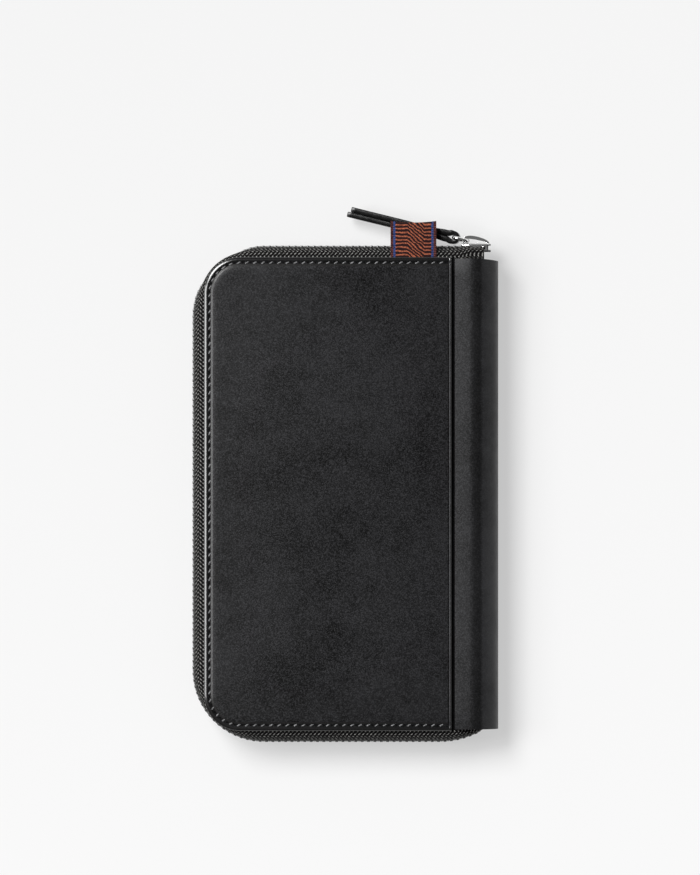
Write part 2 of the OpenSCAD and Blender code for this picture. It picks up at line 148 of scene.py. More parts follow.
def settle(obj):
    """Puts the object's place, turn and scale into its mesh."""
    activate(obj)
    bpy.ops.object.transform_apply(location=True, rotation=True, scale=True)


def edit(obj, pick="VERT"):
    """Opens a mesh in edit mode with nothing selected."""
    activate(obj)
    bpy.ops.object.mode_set(mode="EDIT")
    bpy.ops.mesh.select_mode(type=pick)
    bpy.ops.mesh.select_all(action="DESELECT")
    return bmesh.from_edit_mesh(obj.data)


def choose(obj, elements, test):
    """Selects the elements of the open mesh that pass the test."""
    for element in elements:
        element.select_set(test(element))
    bmesh.update_edit_mesh(obj.data)


def close_edit():
    bpy.ops.object.mode_set(mode="OBJECT")


def outward(obj):
    """Merges doubles and turns every face outwards."""
    edit(obj)
    bpy.ops.mesh.select_all(action="SELECT")
    bpy.ops.mesh.remove_doubles(threshold=1e-7)
    bpy.ops.mesh.normals_make_consistent(inside=False)
    close_edit()


def apply_modifier(obj, kind, **settings):
    activate(obj)
    modifier = obj.modifiers.new(kind.title(), kind)
    for key, value in settings.items():
        setattr(modifier, key, value)
    bpy.ops.object.modifier_apply(modifier=modifier.name)


def round_edges(obj, width, segments=2, angle=40):
    apply_modifier(obj, "BEVEL", width=width, segments=segments, limit_method="ANGLE",
                   angle_limit=math.radians(angle), use_clamp_overlap=True)


def smooth(obj, angle=50):
    activate(obj)
    bpy.ops.object.shade_smooth_by_angle(angle=math.radians(angle))


def shade_round(obj):
    """Shades a small model as round all over."""
    for polygon in obj.data.polygons:
        polygon.use_smooth = True


def extrude_up(obj, height):
    """Raises a flat face to a height, and leaves its mesh open with the upper face selected."""
    edit(obj, "FACE")
    bpy.ops.mesh.select_all(action="SELECT")
    bpy.ops.mesh.extrude_region_move(TRANSFORM_OT_translate={"value": (0, 0, height)})


def inset_steps(steps):
    """Insets the selected face again and again, by widths and rises in millimetres."""
    for width, rise in steps:
        bpy.ops.mesh.inset(thickness=width * MM, depth=rise * MM, use_even_offset=True)


def flip_over(obj):
    """Mirrors a piece of one cover onto the other, about the middle of the thickness."""
    for vertex in obj.data.vertices:
        vertex.co.z = THICK - vertex.co.z
    outward(obj)


def wrapped_sheet(name, rows):
    """A grid bent so that its vertices lie at rows[i][j], with a map of its distances in metres."""
    count_u, count_v = len(rows), len(rows[0])
    deselect_all()
    bpy.ops.mesh.primitive_grid_add(x_subdivisions=count_u - 1, y_subdivisions=count_v - 1, size=1)
    obj = named(name)
    along, across = [0.0], [0.0]
    middle = count_v // 2
    for i in range(1, count_u):
        along.append(along[-1] + (rows[i][middle] - rows[i - 1][middle]).length)
    for j in range(1, count_v):
        across.append(across[-1] + (rows[count_u // 2][j] - rows[count_u // 2][j - 1]).length)
    spot = {}
    for vertex in obj.data.vertices:
        i = round((vertex.co.x + 0.5) * (count_u - 1))
        j = round((vertex.co.y + 0.5) * (count_v - 1))
        spot[vertex.index] = (i, j)
        vertex.co = rows[i][j]
    layer = obj.data.uv_layers[0]
    for loop in obj.data.loops:
        i, j = spot[loop.vertex_index]
        layer.data[loop.index].uv = (along[i], across[j])
    return obj


def flat_size(rows):
    """Width and length of a bent sheet, measured along its middle lines."""
    across = rows[len(rows) // 2]
    along = [row[len(row) // 2] for row in rows]
    return tuple(sum((b - a).length for a, b in zip(line, line[1:])) for line in (across, along))


def thicken(obj, thickness):
    """Gives a sheet its thickness, half on each side."""
    apply_modifier(obj, "SOLIDIFY", thickness=thickness, offset=0.0, use_even_offset=True)
    outward(obj)


def placed(point, z, turn):
    """A place for a copy: a point, its height and a turn about Z."""
    return Matrix.Translation((point.x, point.y, z)) @ Matrix.Rotation(turn, 4, "Z")


def repeated(name, model, places):
    """One mesh that holds a copy of the model at each place, and removes the model."""
    mesh = bmesh.new()
    for place in places:
        before = len(mesh.verts)
        mesh.from_mesh(model.data)
        mesh.verts.ensure_lookup_table()
        bmesh.ops.transform(mesh, matrix=place, verts=mesh.verts[before:])
    data = bpy.data.meshes.new(name)
    mesh.to_mesh(data)
    mesh.free()
    obj = bpy.data.objects.new(name, data)
    bpy.context.collection.objects.link(obj)
    bpy.data.objects.remove(model)
    return obj


def within(share):
    """A share kept between 0 and 1."""
    return max(0.0, min(1.0, share))


def eased(share):
    """A share from 0 to 1 that starts and ends gently."""
    return 3 * share ** 2 - 2 * share ** 3


def paint(obj, material):
    obj.data.materials.clear()
    obj.data.materials.append(material)


def finish(obj, material, body, slot, *nodes):
    """Gives a piece its finish, its body and the nodes that it stands for."""
    paint(obj, material)
    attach(obj, body)
    if nodes:
        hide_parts(*nodes)
    return obj


class Value:
    """A socket of a finish. Arithmetic on it adds Math nodes."""

    def __init__(self, owner, socket):
        self.owner = owner
        self.socket = socket

    def sibling(self, output):
        """Another output of the same node."""
        return Value(self.owner, self.socket.node.outputs[output])

    def maths(self, operation, first, second):
        return self.owner.add("ShaderNodeMath", {"operation": operation}, {0: first, 1: second})

    def __add__(self, other):
        return self.maths("ADD", self, other)

    __radd__ = __add__

    def __sub__(self, other):
        return self.maths("SUBTRACT", self, other)

    def __rsub__(self, other):
        return self.maths("SUBTRACT", other, self)

    def __mul__(self, other):
        return self.maths("MULTIPLY", self, other)

    __rmul__ = __mul__

    def __truediv__(self, other):
        return self.maths("DIVIDE", self, other)

    def __rtruediv__(self, other):
        return self.maths("DIVIDE", other, self)

    def wave(self, size):
        """A triangle wave between 0 and size."""
        return self.maths("PINGPONG", self, size)

    def fraction(self):
        return self.maths("FRACT", self, 0)

    def ridges(self, pitch):
        """Ridges at a pitch, each from 0 up to 1 and back."""
        return (self / pitch).fraction().wave(0.5) * 2

    def power(self, other):
        return self.maths("POWER", self, other)

    def size(self):
        """The value without its sign."""
        return self.maths("ABSOLUTE", self, 0)

    def at_least(self, limit):
        return self.maths("MAXIMUM", self, limit)

    def at_most(self, limit):
        return self.maths("MINIMUM", self, limit)


class Finish:
    """A material whose nodes are added one by one."""

    def __init__(self, name, library=bpy.data.materials):
        self.material = library.new(name)
        self.material.use_nodes = True
        self.nodes = self.material.node_tree.nodes
        self.links = self.material.node_tree.links
        self.nodes.clear()

    def add(self, kind, settings=None, sockets=None, output=0):
        """Adds a node with its settings, then the values or links of its sockets."""
        node = self.nodes.new(kind)
        for key, value in (settings or {}).items():
            setattr(node, key, value)
        for key, value in (sockets or {}).items():
            if isinstance(value, Value):
                self.links.new(value.socket, node.inputs[key])
            else:
                node.inputs[key].default_value = value
        return Value(self, node.outputs[output]) if node.outputs else None

    def place(self):
        """Places on the piece, in metres."""
        return self.add("ShaderNodeTexCoord", output=3)

    def parts(self, vector):
        x = self.add("ShaderNodeSeparateXYZ", sockets={0: vector})
        return x, x.sibling(1), x.sibling(2)

    def chart(self):
        """Distances along and across a wrapped sheet."""
        return self.parts(self.add("ShaderNodeTexCoord", output=2))[:2]

    def noise(self, vector, scale, detail=3.0, rough=0.55):
        return self.add("ShaderNodeTexNoise", sockets={"Vector": vector, "Scale": scale, "Detail": detail,
                                                       "Roughness": rough})

    def cells(self, vector, scale):
        """Distance from the middle of a pebble, and a chance value that each pebble has for itself."""
        reach = self.add("ShaderNodeTexVoronoi", sockets={"Vector": vector, "Scale": scale})
        return reach, self.add("ShaderNodeSeparateColor", sockets={0: reach.sibling("Color")})

    def grade(self, factor, low, high, to_low=0.0, to_high=1.0):
        """A gentle step from one value to another, while the factor goes from low to high."""
        return self.add("ShaderNodeMapRange", {"interpolation_type": "SMOOTHSTEP"},
                        {"Value": factor, "From Min": low, "From Max": high, "To Min": to_low,
                         "To Max": to_high})

    def mix(self, factor, first, second):
        return self.add("ShaderNodeMix", {"data_type": "RGBA"}, {0: factor, 6: first, 7: second}, output=2)

    def bump(self, height, strength, distance):
        return self.add("ShaderNodeBump", sockets={"Height": height, "Strength": strength,
                                                   "Distance": distance})

    def surface(self, **sockets):
        """Ends the finish in one shader, whose sockets are named in small letters."""
        named_sockets = {}
        for key, value in sockets.items():
            named_sockets[key.replace("_", " ").title().replace("Ior", "IOR")] = value
        shader = self.add("ShaderNodeBsdfPrincipled", sockets=named_sockets)
        self.add("ShaderNodeOutputMaterial", sockets={"Surface": shader})
        return self.material


def grey(level, red=1.0, blue=1.0):
    """A neutral colour, or one with a little more or less red and blue."""
    return (level * red, level, level * blue, 1.0)


# Leather: scales of its clouds, patches and pebbles; where its grain fades, where painted shade darkens it
# and where painted reflection turns it pale, measured on X from the line past which it is smooth
CLOUD_SCALE = 22.0
PATCH_SCALE = 130.0
PEBBLE_SCALE = 2700.0
GRAIN_FADE = (-1 * MM, 2 * MM)
PAINTED_SHADE_FADE = (-5 * MM, -2 * MM)
PAINTED_REFLECTION_FADE = (-0.2 * MM, 1.5 * MM)


def leather(name, level, roughness, grain=1.0, smooth_and_painted_light_from=None, shine=0.2):
    """Dark leather with a fine grain, cloudy tone and polish; smoother past a line on X, darker just before
    it as painted shade and paler beyond it as painted reflection.
    """
    made = Finish(name)
    place = made.place()
    clouds = made.noise(place, CLOUD_SCALE, 5.0, 0.62)
    patches = made.noise(place, PATCH_SCALE, 5.0, 0.68)
    reach, chance = made.cells(place, PEBBLE_SCALE)
    shade = 1.0
    if smooth_and_painted_light_from is not None:
        past = made.parts(place)[0] - smooth_and_painted_light_from
        grain = made.grade(past, *GRAIN_FADE, grain, grain * 0.25)
        # Painted shade halves the tone just before the line; past it a painted reflection makes it paler
        # than the rest
        shade = made.grade(past, *PAINTED_SHADE_FADE, 1.0, 0.5) * made.grade(past, *PAINTED_REFLECTION_FADE, 1.0, 2.9)
    tone = made.grade(clouds * 0.6 + patches * 0.4, 0.3, 0.7)
    flecks = (chance.power(2.0) - 0.33) * grain
    factor = (0.2 + tone * 0.5 + flecks * 0.9) * shade
    colour = made.mix(factor, grey(level * 0.1), grey(level * 2.1, 1.0, 1.07))
    rough = roughness + (0.5 - patches) * 0.3 + (chance - 0.5) * 0.1
    normal = made.bump((1 - reach) * grain + patches * 0.8, 0.5, 0.00005)
    return made.surface(base_color=colour, roughness=rough, normal=normal, specular_ior_level=shine)


def burnished_leather(name, level, roughness, gloss=0.7, coat=0.5, uneven=0.12):
    """Rolled or pressed leather with a polish."""
    made = Finish(name)
    place = made.place()
    fibres = made.noise(place, 700.0, 4.0, 0.6)
    chance = made.cells(place, 3000.0)[1]
    colour = made.mix(fibres * 0.5 + chance * 0.5, grey(level * 0.2), grey(level * 1.8, 1.03, 1.0))
    normal = made.bump(fibres, uneven, 0.0001)
    return made.surface(base_color=colour, roughness=roughness + fibres * 0.1, normal=normal,
                        specular_ior_level=gloss, coat_weight=coat, coat_roughness=0.1)


def lace_finish():
    """Black lace leather, waxed to a gloss."""
    made = Finish("gloss_black_lace")
    wear = made.noise(made.place(), 260.0, 3.0)
    colour = made.mix(made.grade(wear, 0.4, 0.75), grey(0.001), grey(0.006))
    normal = made.bump(wear, 0.12, 0.0001)
    return made.surface(base_color=colour, roughness=0.14 + wear * 0.1, normal=normal,
                        specular_ior_level=0.35)


def thread_finish():
    """Dark waxed thread with its twist, painted lighter grey along the twist as painted highlight."""
    made = Finish("waxed_thread")
    twist = made.noise(made.place(), 2800.0, 2.0)
    colour = made.mix(made.grade(twist, 0.3, 0.7), grey(0.05), grey(0.3, 1.0, 1.03))
    normal = made.bump(twist, 0.3, 0.0001)
    return made.surface(base_color=colour, roughness=0.3 + twist * 0.2, normal=normal,
                        specular_ior_level=0.6)


def hole_finish():
    """Deep shade in a needle hole."""
    made = Finish("needle_hole")
    grit = made.noise(made.place(), 2500.0, 2.0)
    return made.surface(base_color=made.mix(grit, grey(0.0005), grey(0.004)), roughness=0.85 + grit * 0.1,
                        specular_ior_level=0.1)


def herringbone(made, column, rib):
    """Ribs that slant one way and the other in turn, from 0 in the grooves to 1 on the ribs."""
    along, across = made.chart()
    slant = across.wave(column)
    ribs = ((along + slant) / rib).fraction()
    return made.grade(ribs.wave(0.5), 0.28, 0.44), across


# Zip tape: width of a column of slanting ribs, their pitch, and the pitch of the rows of loose yarn
TAPE_COLUMN = 2.3 * MM
TAPE_RIB = 1.8 * MM
TAPE_YARN = 1.3 * MM


def tape_finish():
    """Black zip tape in a herringbone weave, its rib crests along rows of yarn painted lighter as painted
    highlight.
    """
    made = Finish("zip_tape_weave")
    ribs, across = herringbone(made, TAPE_COLUMN, TAPE_RIB)
    fuzz = made.noise(made.place(), 1700.0, 3.0)
    rows = made.grade((across / TAPE_YARN).fraction().wave(0.5), 0.1, 0.32, 0.02, 1.0)
    # The rows of yarn are part of the weave; their lighter colour on the rib crests is painted highlight
    yarn = ribs * rows * made.grade(fuzz, 0.35, 0.6, 0.3, 1.0)
    colour = made.mix(yarn, grey(0.001), grey(0.36, 1.02, 0.96))
    height = ribs * 0.6 + rows * 0.25 + fuzz * 0.15
    normal = made.bump(height, 0.8, 0.0003)
    return made.surface(base_color=colour, roughness=0.65 + fuzz * 0.2, normal=normal,
                        specular_ior_level=0.12)


def tooth_finish():
    """Gloss black coating, slightly worn on the crowns."""
    made = Finish("black_zip_teeth")
    wear = made.noise(made.place(), 900.0, 3.0)
    colour = made.mix(made.grade(wear, 0.4, 0.7), grey(0.006), grey(0.06))
    return made.surface(base_color=colour, roughness=0.16 + wear * 0.14, specular_ior_level=0.9,
                        coat_weight=0.6, coat_roughness=0.08)


def chrome_finish():
    """Polished plating with faint rubbing marks."""
    made = Finish("bright_chrome")
    rub = made.noise(made.place(), 520.0, 4.0, 0.65)
    colour = made.mix(rub, grey(0.7), grey(0.9))
    normal = made.bump(rub, 0.03, 0.0001)
    return made.surface(base_color=colour, metallic=1.0, roughness=0.04 + rub * 0.08, normal=normal)


# Ribbon: shares of its width where its lines step down, their drop and pitch, and its striped border
ZIGZAG_FROM = 0.42
ZIGZAG_WIDTH = 0.37
ZIGZAG_DROP = 6.6 * MM
ZIGZAG_PITCH = 1.7 * MM
HEM_WIDTH = 1.2 * MM
STRIPE_WIDTH = 1.0 * MM
STRIPE_BLUR = 0.1 * MM
PICK_PITCH = 0.45 * MM
WEFT_PITCH = 0.8 * MM


def tab_finish():
    """Rust ribbon woven in broken zigzag lines, with a blue stripe near each side."""
    made = Finish("rust_herringbone")
    along, across = made.chart()
    width = TAB_RIGHT - TAB_LEFT
    yarn = made.noise(made.place(), 1500.0, 3.0)
    drift = made.noise(made.place(), 300.0, 2.0)
    slope = ((across + drift * (2 * MM)) / width - ZIGZAG_FROM) / ZIGZAG_WIDTH
    slope = slope.at_least(0.0).at_most(1.0) * ZIGZAG_DROP
    lines = ((along + slope + drift * (1.2 * MM)) / ZIGZAG_PITCH).fraction()
    line = made.grade(lines.wave(0.5), 0.24, 0.38)
    picks = across.ridges(PICK_PITCH)
    warm = made.mix(made.grade(yarn, 0.3, 0.7), (0.15, 0.04, 0.02, 1), (0.47, 0.135, 0.07, 1))
    field = made.mix(line, (0.014, 0.003, 0.004, 1), warm)
    edge = (across - width / 2).size()
    outer, inner = width / 2 - HEM_WIDTH, width / 2 - HEM_WIDTH - STRIPE_WIDTH
    stripe = made.grade(edge, inner - STRIPE_BLUR, inner + STRIPE_BLUR)
    stripe = stripe * made.grade(edge, outer - STRIPE_BLUR, outer + STRIPE_BLUR, 1.0, 0.0)
    weft = along.ridges(WEFT_PITCH)
    blue = made.mix(weft * made.grade(yarn, 0.3, 0.6), (0.01, 0.015, 0.06, 1), (0.06, 0.11, 0.34, 1))
    border = made.mix(weft * made.grade(yarn, 0.35, 0.65), (0.016, 0.004, 0.006, 1), (0.2, 0.06, 0.05, 1))
    hem = made.grade(edge, outer - STRIPE_BLUR, outer + STRIPE_BLUR)
    colour = made.mix(stripe, made.mix(hem, field, border), blue)
    height = line * 0.5 + picks * 0.3 + yarn * 0.3
    normal = made.bump(height, 0.8, 0.0002)
    return made.surface(base_color=colour, roughness=0.74 + yarn * 0.18, normal=normal,
                        specular_ior_level=0.2)


TWILL_PITCH = 0.62 * MM
TWILL_SLOPE = 0.55


def lining_finish():
    """Dark grey twill."""
    made = Finish("grey_twill")
    place = made.place()
    x, y, _ = made.parts(place)
    rib = (x + y * TWILL_SLOPE).ridges(TWILL_PITCH)
    fuzz = made.noise(place, 2100.0, 3.0)
    colour = made.mix(rib * 0.7 + fuzz * 0.3, grey(0.022, 1.0, 1.08), grey(0.06, 1.0, 1.06))
    normal = made.bump(rib * 0.8 + fuzz * 0.2, 0.5, 0.00015)
    return made.surface(base_color=colour, roughness=0.7 + fuzz * 0.15, normal=normal, sheen_weight=0.15,
                        sheen_roughness=0.4)


def board_finish():
    """Grey-brown pressed board."""
    made = Finish("pressed_board")
    fibres = made.noise(made.place(), 600.0, 5.0, 0.7)
    colour = made.mix(fibres, (0.16, 0.12, 0.075, 1), (0.34, 0.27, 0.17, 1))
    normal = made.bump(fibres, 0.3, 0.0002)
    return made.surface(base_color=colour, roughness=0.85 + fibres * 0.1, normal=normal)


# Line past which the spine's leather is smoother; a band of painted shade lies before it and painted
# reflection makes the curved side paler beyond it
SPINE_SMOOTH_AND_PAINTED_LIGHT_FROM = SEAM_X + 12.5 * MM
COVER_LEATHER = leather("black_cover_leather", 0.018, 0.42)
SPINE_LEATHER = leather("black_spine_leather", 0.018, 0.4, 0.9, SPINE_SMOOTH_AND_PAINTED_LIGHT_FROM)
# Creased rim: near-black painted shade in the sunk stitch channel
CREASE_PAINTED_SHADE_LEATHER = leather("creased_rim_painted_shade_leather", 0.006, 0.5, shine=0.13)
# Seam groove: black painted shade in the crease by the panel's cut edge and in the spine's groove
GROOVE_PAINTED_SHADE_LEATHER = leather("seam_groove_painted_shade_leather", 0.002, 0.6, shine=0.05)
# Seam rim: lighter leather by the panel's cut edge, a painted highlight on its rounded rim
RIM_PAINTED_HIGHLIGHT_LEATHER = leather("seam_rim_painted_highlight_leather", 0.025, 0.4, 0.6)
POCKET_LEATHER = leather("black_pocket_leather", 0.024, 0.45, 0.6)
EDGE_LEATHER = burnished_leather("burnished_edge", 0.008, 0.14)
WALL_LEATHER = burnished_leather("pressed_channel_wall", 0.014, 0.3, 0.4, 0.1, 0.9)
PULL_LEATHER = lace_finish()
THREAD = thread_finish()
NEEDLE_HOLE = hole_finish()
TAPE = tape_finish()
TEETH = tooth_finish()
CHROME = chrome_finish()
RIBBON = tab_finish()
LINING = lining_finish()
BOARD = board_finish()


def sheet_plane(name, low, high, corner, segments, both=True):
    """A flat face with both left corners rounded, or only the lower one."""
    deselect_all()
    middle = (low + high) / 2
    bpy.ops.mesh.primitive_plane_add(size=1, location=(middle.x, middle.y, low.z))
    obj = named(name)
    obj.scale = (high.x - low.x, high.y - low.y, 1)
    settle(obj)
    mesh = edit(obj)
    choose(obj, mesh.verts, lambda vertex: vertex.co.x < middle.x and (both or vertex.co.y < middle.y))
    bpy.ops.mesh.bevel(affect="VERTICES", offset=corner, segments=segments, profile=0.5)
    close_edit()
    return obj


def cover_plane(name, right, z):
    """A flat face with a cover's outline, as far as a place towards the spine."""
    return sheet_plane(name, Vector((LEFT_X, -HALF_H, z)), Vector((right, HALF_H, z)), CORNER_R, 20)


# Rim of an outer panel from its edge inwards: width of each step and its rise
PANEL_WALL = 0.16 * MM
PANEL_STEPS = [(0.1, 0.12), (0.15, 0.1), (0.25, 0.1), (0.25, 0.1), (0.25, 0.08), (0.25, 0.05), (0.2, 0.0),
               (0.3, -0.07), (0.3, -0.1), (0.3, -0.05), (0.4, 0.0), (0.3, 0.08), (0.4, 0.19), (0.4, 0.16),
               (0.5, 0.11), (0.7, 0.09), (0.9, 0.05), (1.2, 0.02), (2.2, 0.01)]
CHANNEL_STEP = 10
BEAD_WIDTH = 1.4 * MM
CREASE_WIDTH = 3.0 * MM
WALL_WIDTH = 3.7 * MM
SEAM_SPARE = 14 * MM


def outer_panel(name):
    """Leather panel with a burnished edge, a sunk stitch line and a raised field, open at the spine."""
    obj = cover_plane(name, SEAM_X + SEAM_SPARE, PANEL_LOW.z)
    extrude_up(obj, PANEL_WALL)
    inset_steps(PANEL_STEPS)
    bpy.ops.mesh.select_all(action="SELECT")
    bpy.ops.mesh.bisect(plane_co=(SEAM_EDGE, 0, 0), plane_no=(1, 0, 0), use_fill=True, clear_outer=True)
    close_edit()
    outward(obj)
    return obj


# Crease beside the panel's cut edge: its two sides and its bottom, from the edge inwards
SEAM_BEVEL = 0.35 * MM
SEAM_LINES = (0.9 * MM, 1.2 * MM, 1.6 * MM)
SEAM_SINK = 0.25 * MM
UPPER_FACE = 0.7 * MM
SAME_PLACE = 0.001 * MM


def soften_seam(obj):
    """Rounds the panel's cut edge at the spine and sinks a crease beside it."""
    mesh = edit(obj, "EDGE")
    top = max(vertex.co.z for vertex in mesh.verts) - UPPER_FACE

    def at_seam(edge):
        return all(abs(vertex.co.x - SEAM_EDGE) < SAME_PLACE and vertex.co.z > top for vertex in edge.verts)

    choose(obj, mesh.edges, at_seam)
    bpy.ops.mesh.bevel(offset=SEAM_BEVEL, segments=4, profile=0.5)
    for inset in SEAM_LINES:
        bpy.ops.mesh.select_all(action="SELECT")
        bpy.ops.mesh.bisect(plane_co=(SEAM_EDGE - inset, 0, 0), plane_no=(1, 0, 0))
    close_edit()
    for vertex in obj.data.vertices:
        if abs(vertex.co.x - SEAM_EDGE + SEAM_LINES[1]) < SAME_PLACE and vertex.co.z > top:
            vertex.co.z -= SEAM_SINK


def edge_distance(point):
    """Distance of a point of a panel from the panel's stitched edges."""
    from_left, from_end = point.x - LEFT_X, HALF_H - abs(point.y)
    if from_left < CORNER_R and from_end < CORNER_R:
        return CORNER_R - math.hypot(CORNER_R - from_left, CORNER_R - from_end)
    return min(from_left, from_end)


def panel_zone(inset, from_seam):
    """Finish of a place on a panel, by its distance from the stitched edges and from the cut edge."""
    if inset < BEAD_WIDTH or from_seam < SEAM_BEVEL:
        return EDGE_LEATHER
    if from_seam < SEAM_LINES[1]:
        return RIM_PAINTED_HIGHLIGHT_LEATHER
    if from_seam < SEAM_LINES[2]:
        return GROOVE_PAINTED_SHADE_LEATHER
    if inset < CREASE_WIDTH:
        return CREASE_PAINTED_SHADE_LEATHER
    if inset < WALL_WIDTH:
        return WALL_LEATHER
    return COVER_LEATHER


def burnish_and_paint_light(obj):
    """Gives the rolled edges of a panel their polish, its stitch channel and the crease by the cut edge a
    painted shade, and the strip along the cut edge a painted highlight.
    """
    zones = [COVER_LEATHER, EDGE_LEATHER, CREASE_PAINTED_SHADE_LEATHER, RIM_PAINTED_HIGHLIGHT_LEATHER, GROOVE_PAINTED_SHADE_LEATHER, WALL_LEATHER]
    for zone in zones[1:]:
        obj.data.materials.append(zone)
    for polygon in obj.data.polygons:
        zone = panel_zone(edge_distance(polygon.center), SEAM_EDGE - polygon.center.x)
        polygon.material_index = zones.index(zone)


def cover_sheet(name, right):
    """Cover leather under a panel, with rounded edges."""
    obj = cover_plane(name, right, PANEL_LOW.z - COVER_T)
    extrude_up(obj, COVER_T)
    close_edit()
    outward(obj)
    round_edges(obj, COVER_ROUND, 3)
    return obj


def straight_line(first, last):
    """Points and directions along a straight line, by distance, and its length."""
    first, last = Vector(first), Vector(last)
    way = (last - first).normalized()

    def at(distance):
        return first + way * distance, math.atan2(way.y, way.x)

    return at, (last - first).length


def quarter_turn(centre, radius, start):
    """A quarter of a circle from a direction in degrees, anticlockwise."""
    def at(distance):
        turn = math.radians(start) + distance / radius
        return Vector(centre) + radius * Vector((math.cos(turn), math.sin(turn))), turn + math.pi / 2

    return at, radius * math.pi / 2


def edge_line(inset):
    """Points and directions along a panel's three stitched edges, from the spine's top to its bottom."""
    radius = CORNER_R - inset
    left, top = LEFT_X + inset, HALF_H - inset
    turn_x, turn_y = left + radius, top - radius
    runs = [straight_line((SEAM_X, top), (turn_x, top)),
            quarter_turn((turn_x, turn_y), radius, 90),
            straight_line((left, turn_y), (left, -turn_y)),
            quarter_turn((turn_x, -turn_y), radius, 180),
            straight_line((turn_x, -top), (SEAM_X, -top))]

    def at(distance):
        for line, length in runs[:-1]:
            if distance <= length:
                return line(distance)
            distance -= length
        return runs[-1][0](distance)

    return at, sum(length for _, length in runs)


# Shape of a stitch and of a needle hole, and how the stitches lean round a cover, in degrees
THREAD_FLATNESS = 0.9
THREAD_FULLNESS = 0.35
THREAD_DIP = 0.5
HOLE_SIZE = (0.95 * MM, 0.75 * MM, 0.14 * MM)
HOLE_DEPTH = 0.08 * MM
LEAN_MIDDLE = 225
LEAN_CHANGE = 15
LEAN_CHANCE = 0.06


def stitch_model(length, width):
    """One slanted stitch: a round thread that dips at both ends."""
    deselect_all()
    bpy.ops.mesh.primitive_uv_sphere_add(segments=8, ring_count=6, radius=0.5)
    model = named("stitch_model")
    model.rotation_euler = (0, math.radians(90), 0)
    settle(model)
    model.scale = (length, width, width * THREAD_FLATNESS)
    settle(model)
    for vertex in model.data.vertices:
        reach = abs(vertex.co.x) / (length / 2)
        vertex.co.y *= 1 + THREAD_FULLNESS * (1 - reach) * reach
        vertex.co.z -= width * THREAD_DIP * reach ** 2
    shade_round(model)
    return model


def hole_model():
    """A shallow dark cup where the thread goes through."""
    deselect_all()
    bpy.ops.mesh.primitive_uv_sphere_add(segments=8, ring_count=4, radius=0.5)
    model = named("hole_model")
    model.scale = HOLE_SIZE
    settle(model)
    shade_round(model)
    return model


def lean(turn):
    """Direction of the stitches round a cover, where the line of the seam has this direction."""
    return math.radians(LEAN_MIDDLE - LEAN_CHANGE * math.cos(2 * turn))


def stitches(name, runs, z, margin=0.0, pitch=STITCH_PITCH, length=STITCH_LENGTH, width=STITCH_WIDTH,
             slant=None):
    """Stitches along runs, each a line of points and directions with its length, and the holes between."""
    places, holes = [], []
    for line, run in runs:
        count = max(1, int((run - 2 * margin) / pitch))
        step = (run - 2 * margin) / count
        for i in range(count):
            point, turn = line(margin + (i + 0.5) * step)
            tilt = lean(turn) if slant is None else turn + slant
            tilt += random.uniform(-LEAN_CHANCE, LEAN_CHANCE)
            places.append(placed(point, z, tilt))
            point, turn = line(margin + i * step)
            holes.append(placed(point, z - HOLE_DEPTH, turn))
    thread = repeated(name, stitch_model(length, width), places)
    return thread, repeated(f"{name}_holes", hole_model(), holes)


STITCH_RISE = 0.1 * MM
STITCH_MARGIN = 3 * MM


def build_covers():
    """Panel, cover leather and edge stitches of both covers."""
    channel_z = PANEL_LOW.z + PANEL_WALL + sum(rise for _, rise in PANEL_STEPS[:CHANNEL_STEP]) * MM
    stitch_z = channel_z + STITCH_RISE
    for side in ("front", "back"):
        panel = outer_panel(f"{side}_outer_panel")
        soften_seam(panel)
        cover = cover_sheet(f"{side}_cover_leather", TUCK_X)
        thread, holes = stitches(f"{side}_edge_stitching", [edge_line(STITCH_EDGE)], stitch_z,
                                 STITCH_MARGIN)
        if side == "back":
            for piece in (panel, cover, thread, holes):
                flip_over(piece)
        smooth(panel, 40)
        smooth(cover, 35)
        finish(panel, COVER_LEATHER, side, "cover_leather", f"{side}_panel")
        burnish_and_paint_light(panel)
        finish(cover, EDGE_LEATHER, side, "cover_leather", f"{side}_cover")
        finish(thread, THREAD, side, "cover_leather")
        finish(holes, NEEDLE_HOLE, side, "cover_leather")


# Spine: the leather leaves the seam in a groove, rises to a low crest and turns round
GROOVE_X = SEAM_X + 0.5 * MM
GROOVE_END = SEAM_X + 1.0 * MM
GROOVE_Z = THICK - 2.3 * MM
CREST_Z = THICK - 0.5 * MM
SPINE_R = CREST_Z - MID_Z
SPINE_X = SPINE_HIGH.x - SPINE_R
SPINE_ROWS = 112
SPINE_COLUMNS = 24
SPINE_ROUND = 1.1 * MM
SPINE_OVERHANG = 0.2 * MM
SPINE_EDGE_ROUND = 0.4 * MM
LIP_SHARE = 0.4
CREST_POWER = 1.25


def spine_profile(share, inset):
    """Point of the upper half of the spine's outer face, from the tuck to the middle of the bend."""
    radius = SPINE_R - inset
    flat = SPINE_X - TUCK_X
    distance = share * (flat + radius * math.pi / 2)
    if distance > flat:
        turn = (distance - flat) / radius
        return SPINE_X + radius * math.sin(turn), MID_Z + radius * math.cos(turn)
    x = TUCK_X + distance
    seat = PANEL_LOW.z
    fall = within((x - SEAM_EDGE) / (GROOVE_X - SEAM_EDGE))
    rise = within((x - GROOVE_X) / (SPINE_X - GROOVE_X))
    z = seat + (GROOVE_Z - seat) * eased(fall)
    lip = min(1.0, rise * (SPINE_X - GROOVE_X) / (GROOVE_END - GROOVE_X))
    z += (CREST_Z - GROOVE_Z) * (LIP_SHARE * eased(lip) + (1 - LIP_SHARE) * (1 - (1 - rise) ** CREST_POWER))
    return x, z - inset


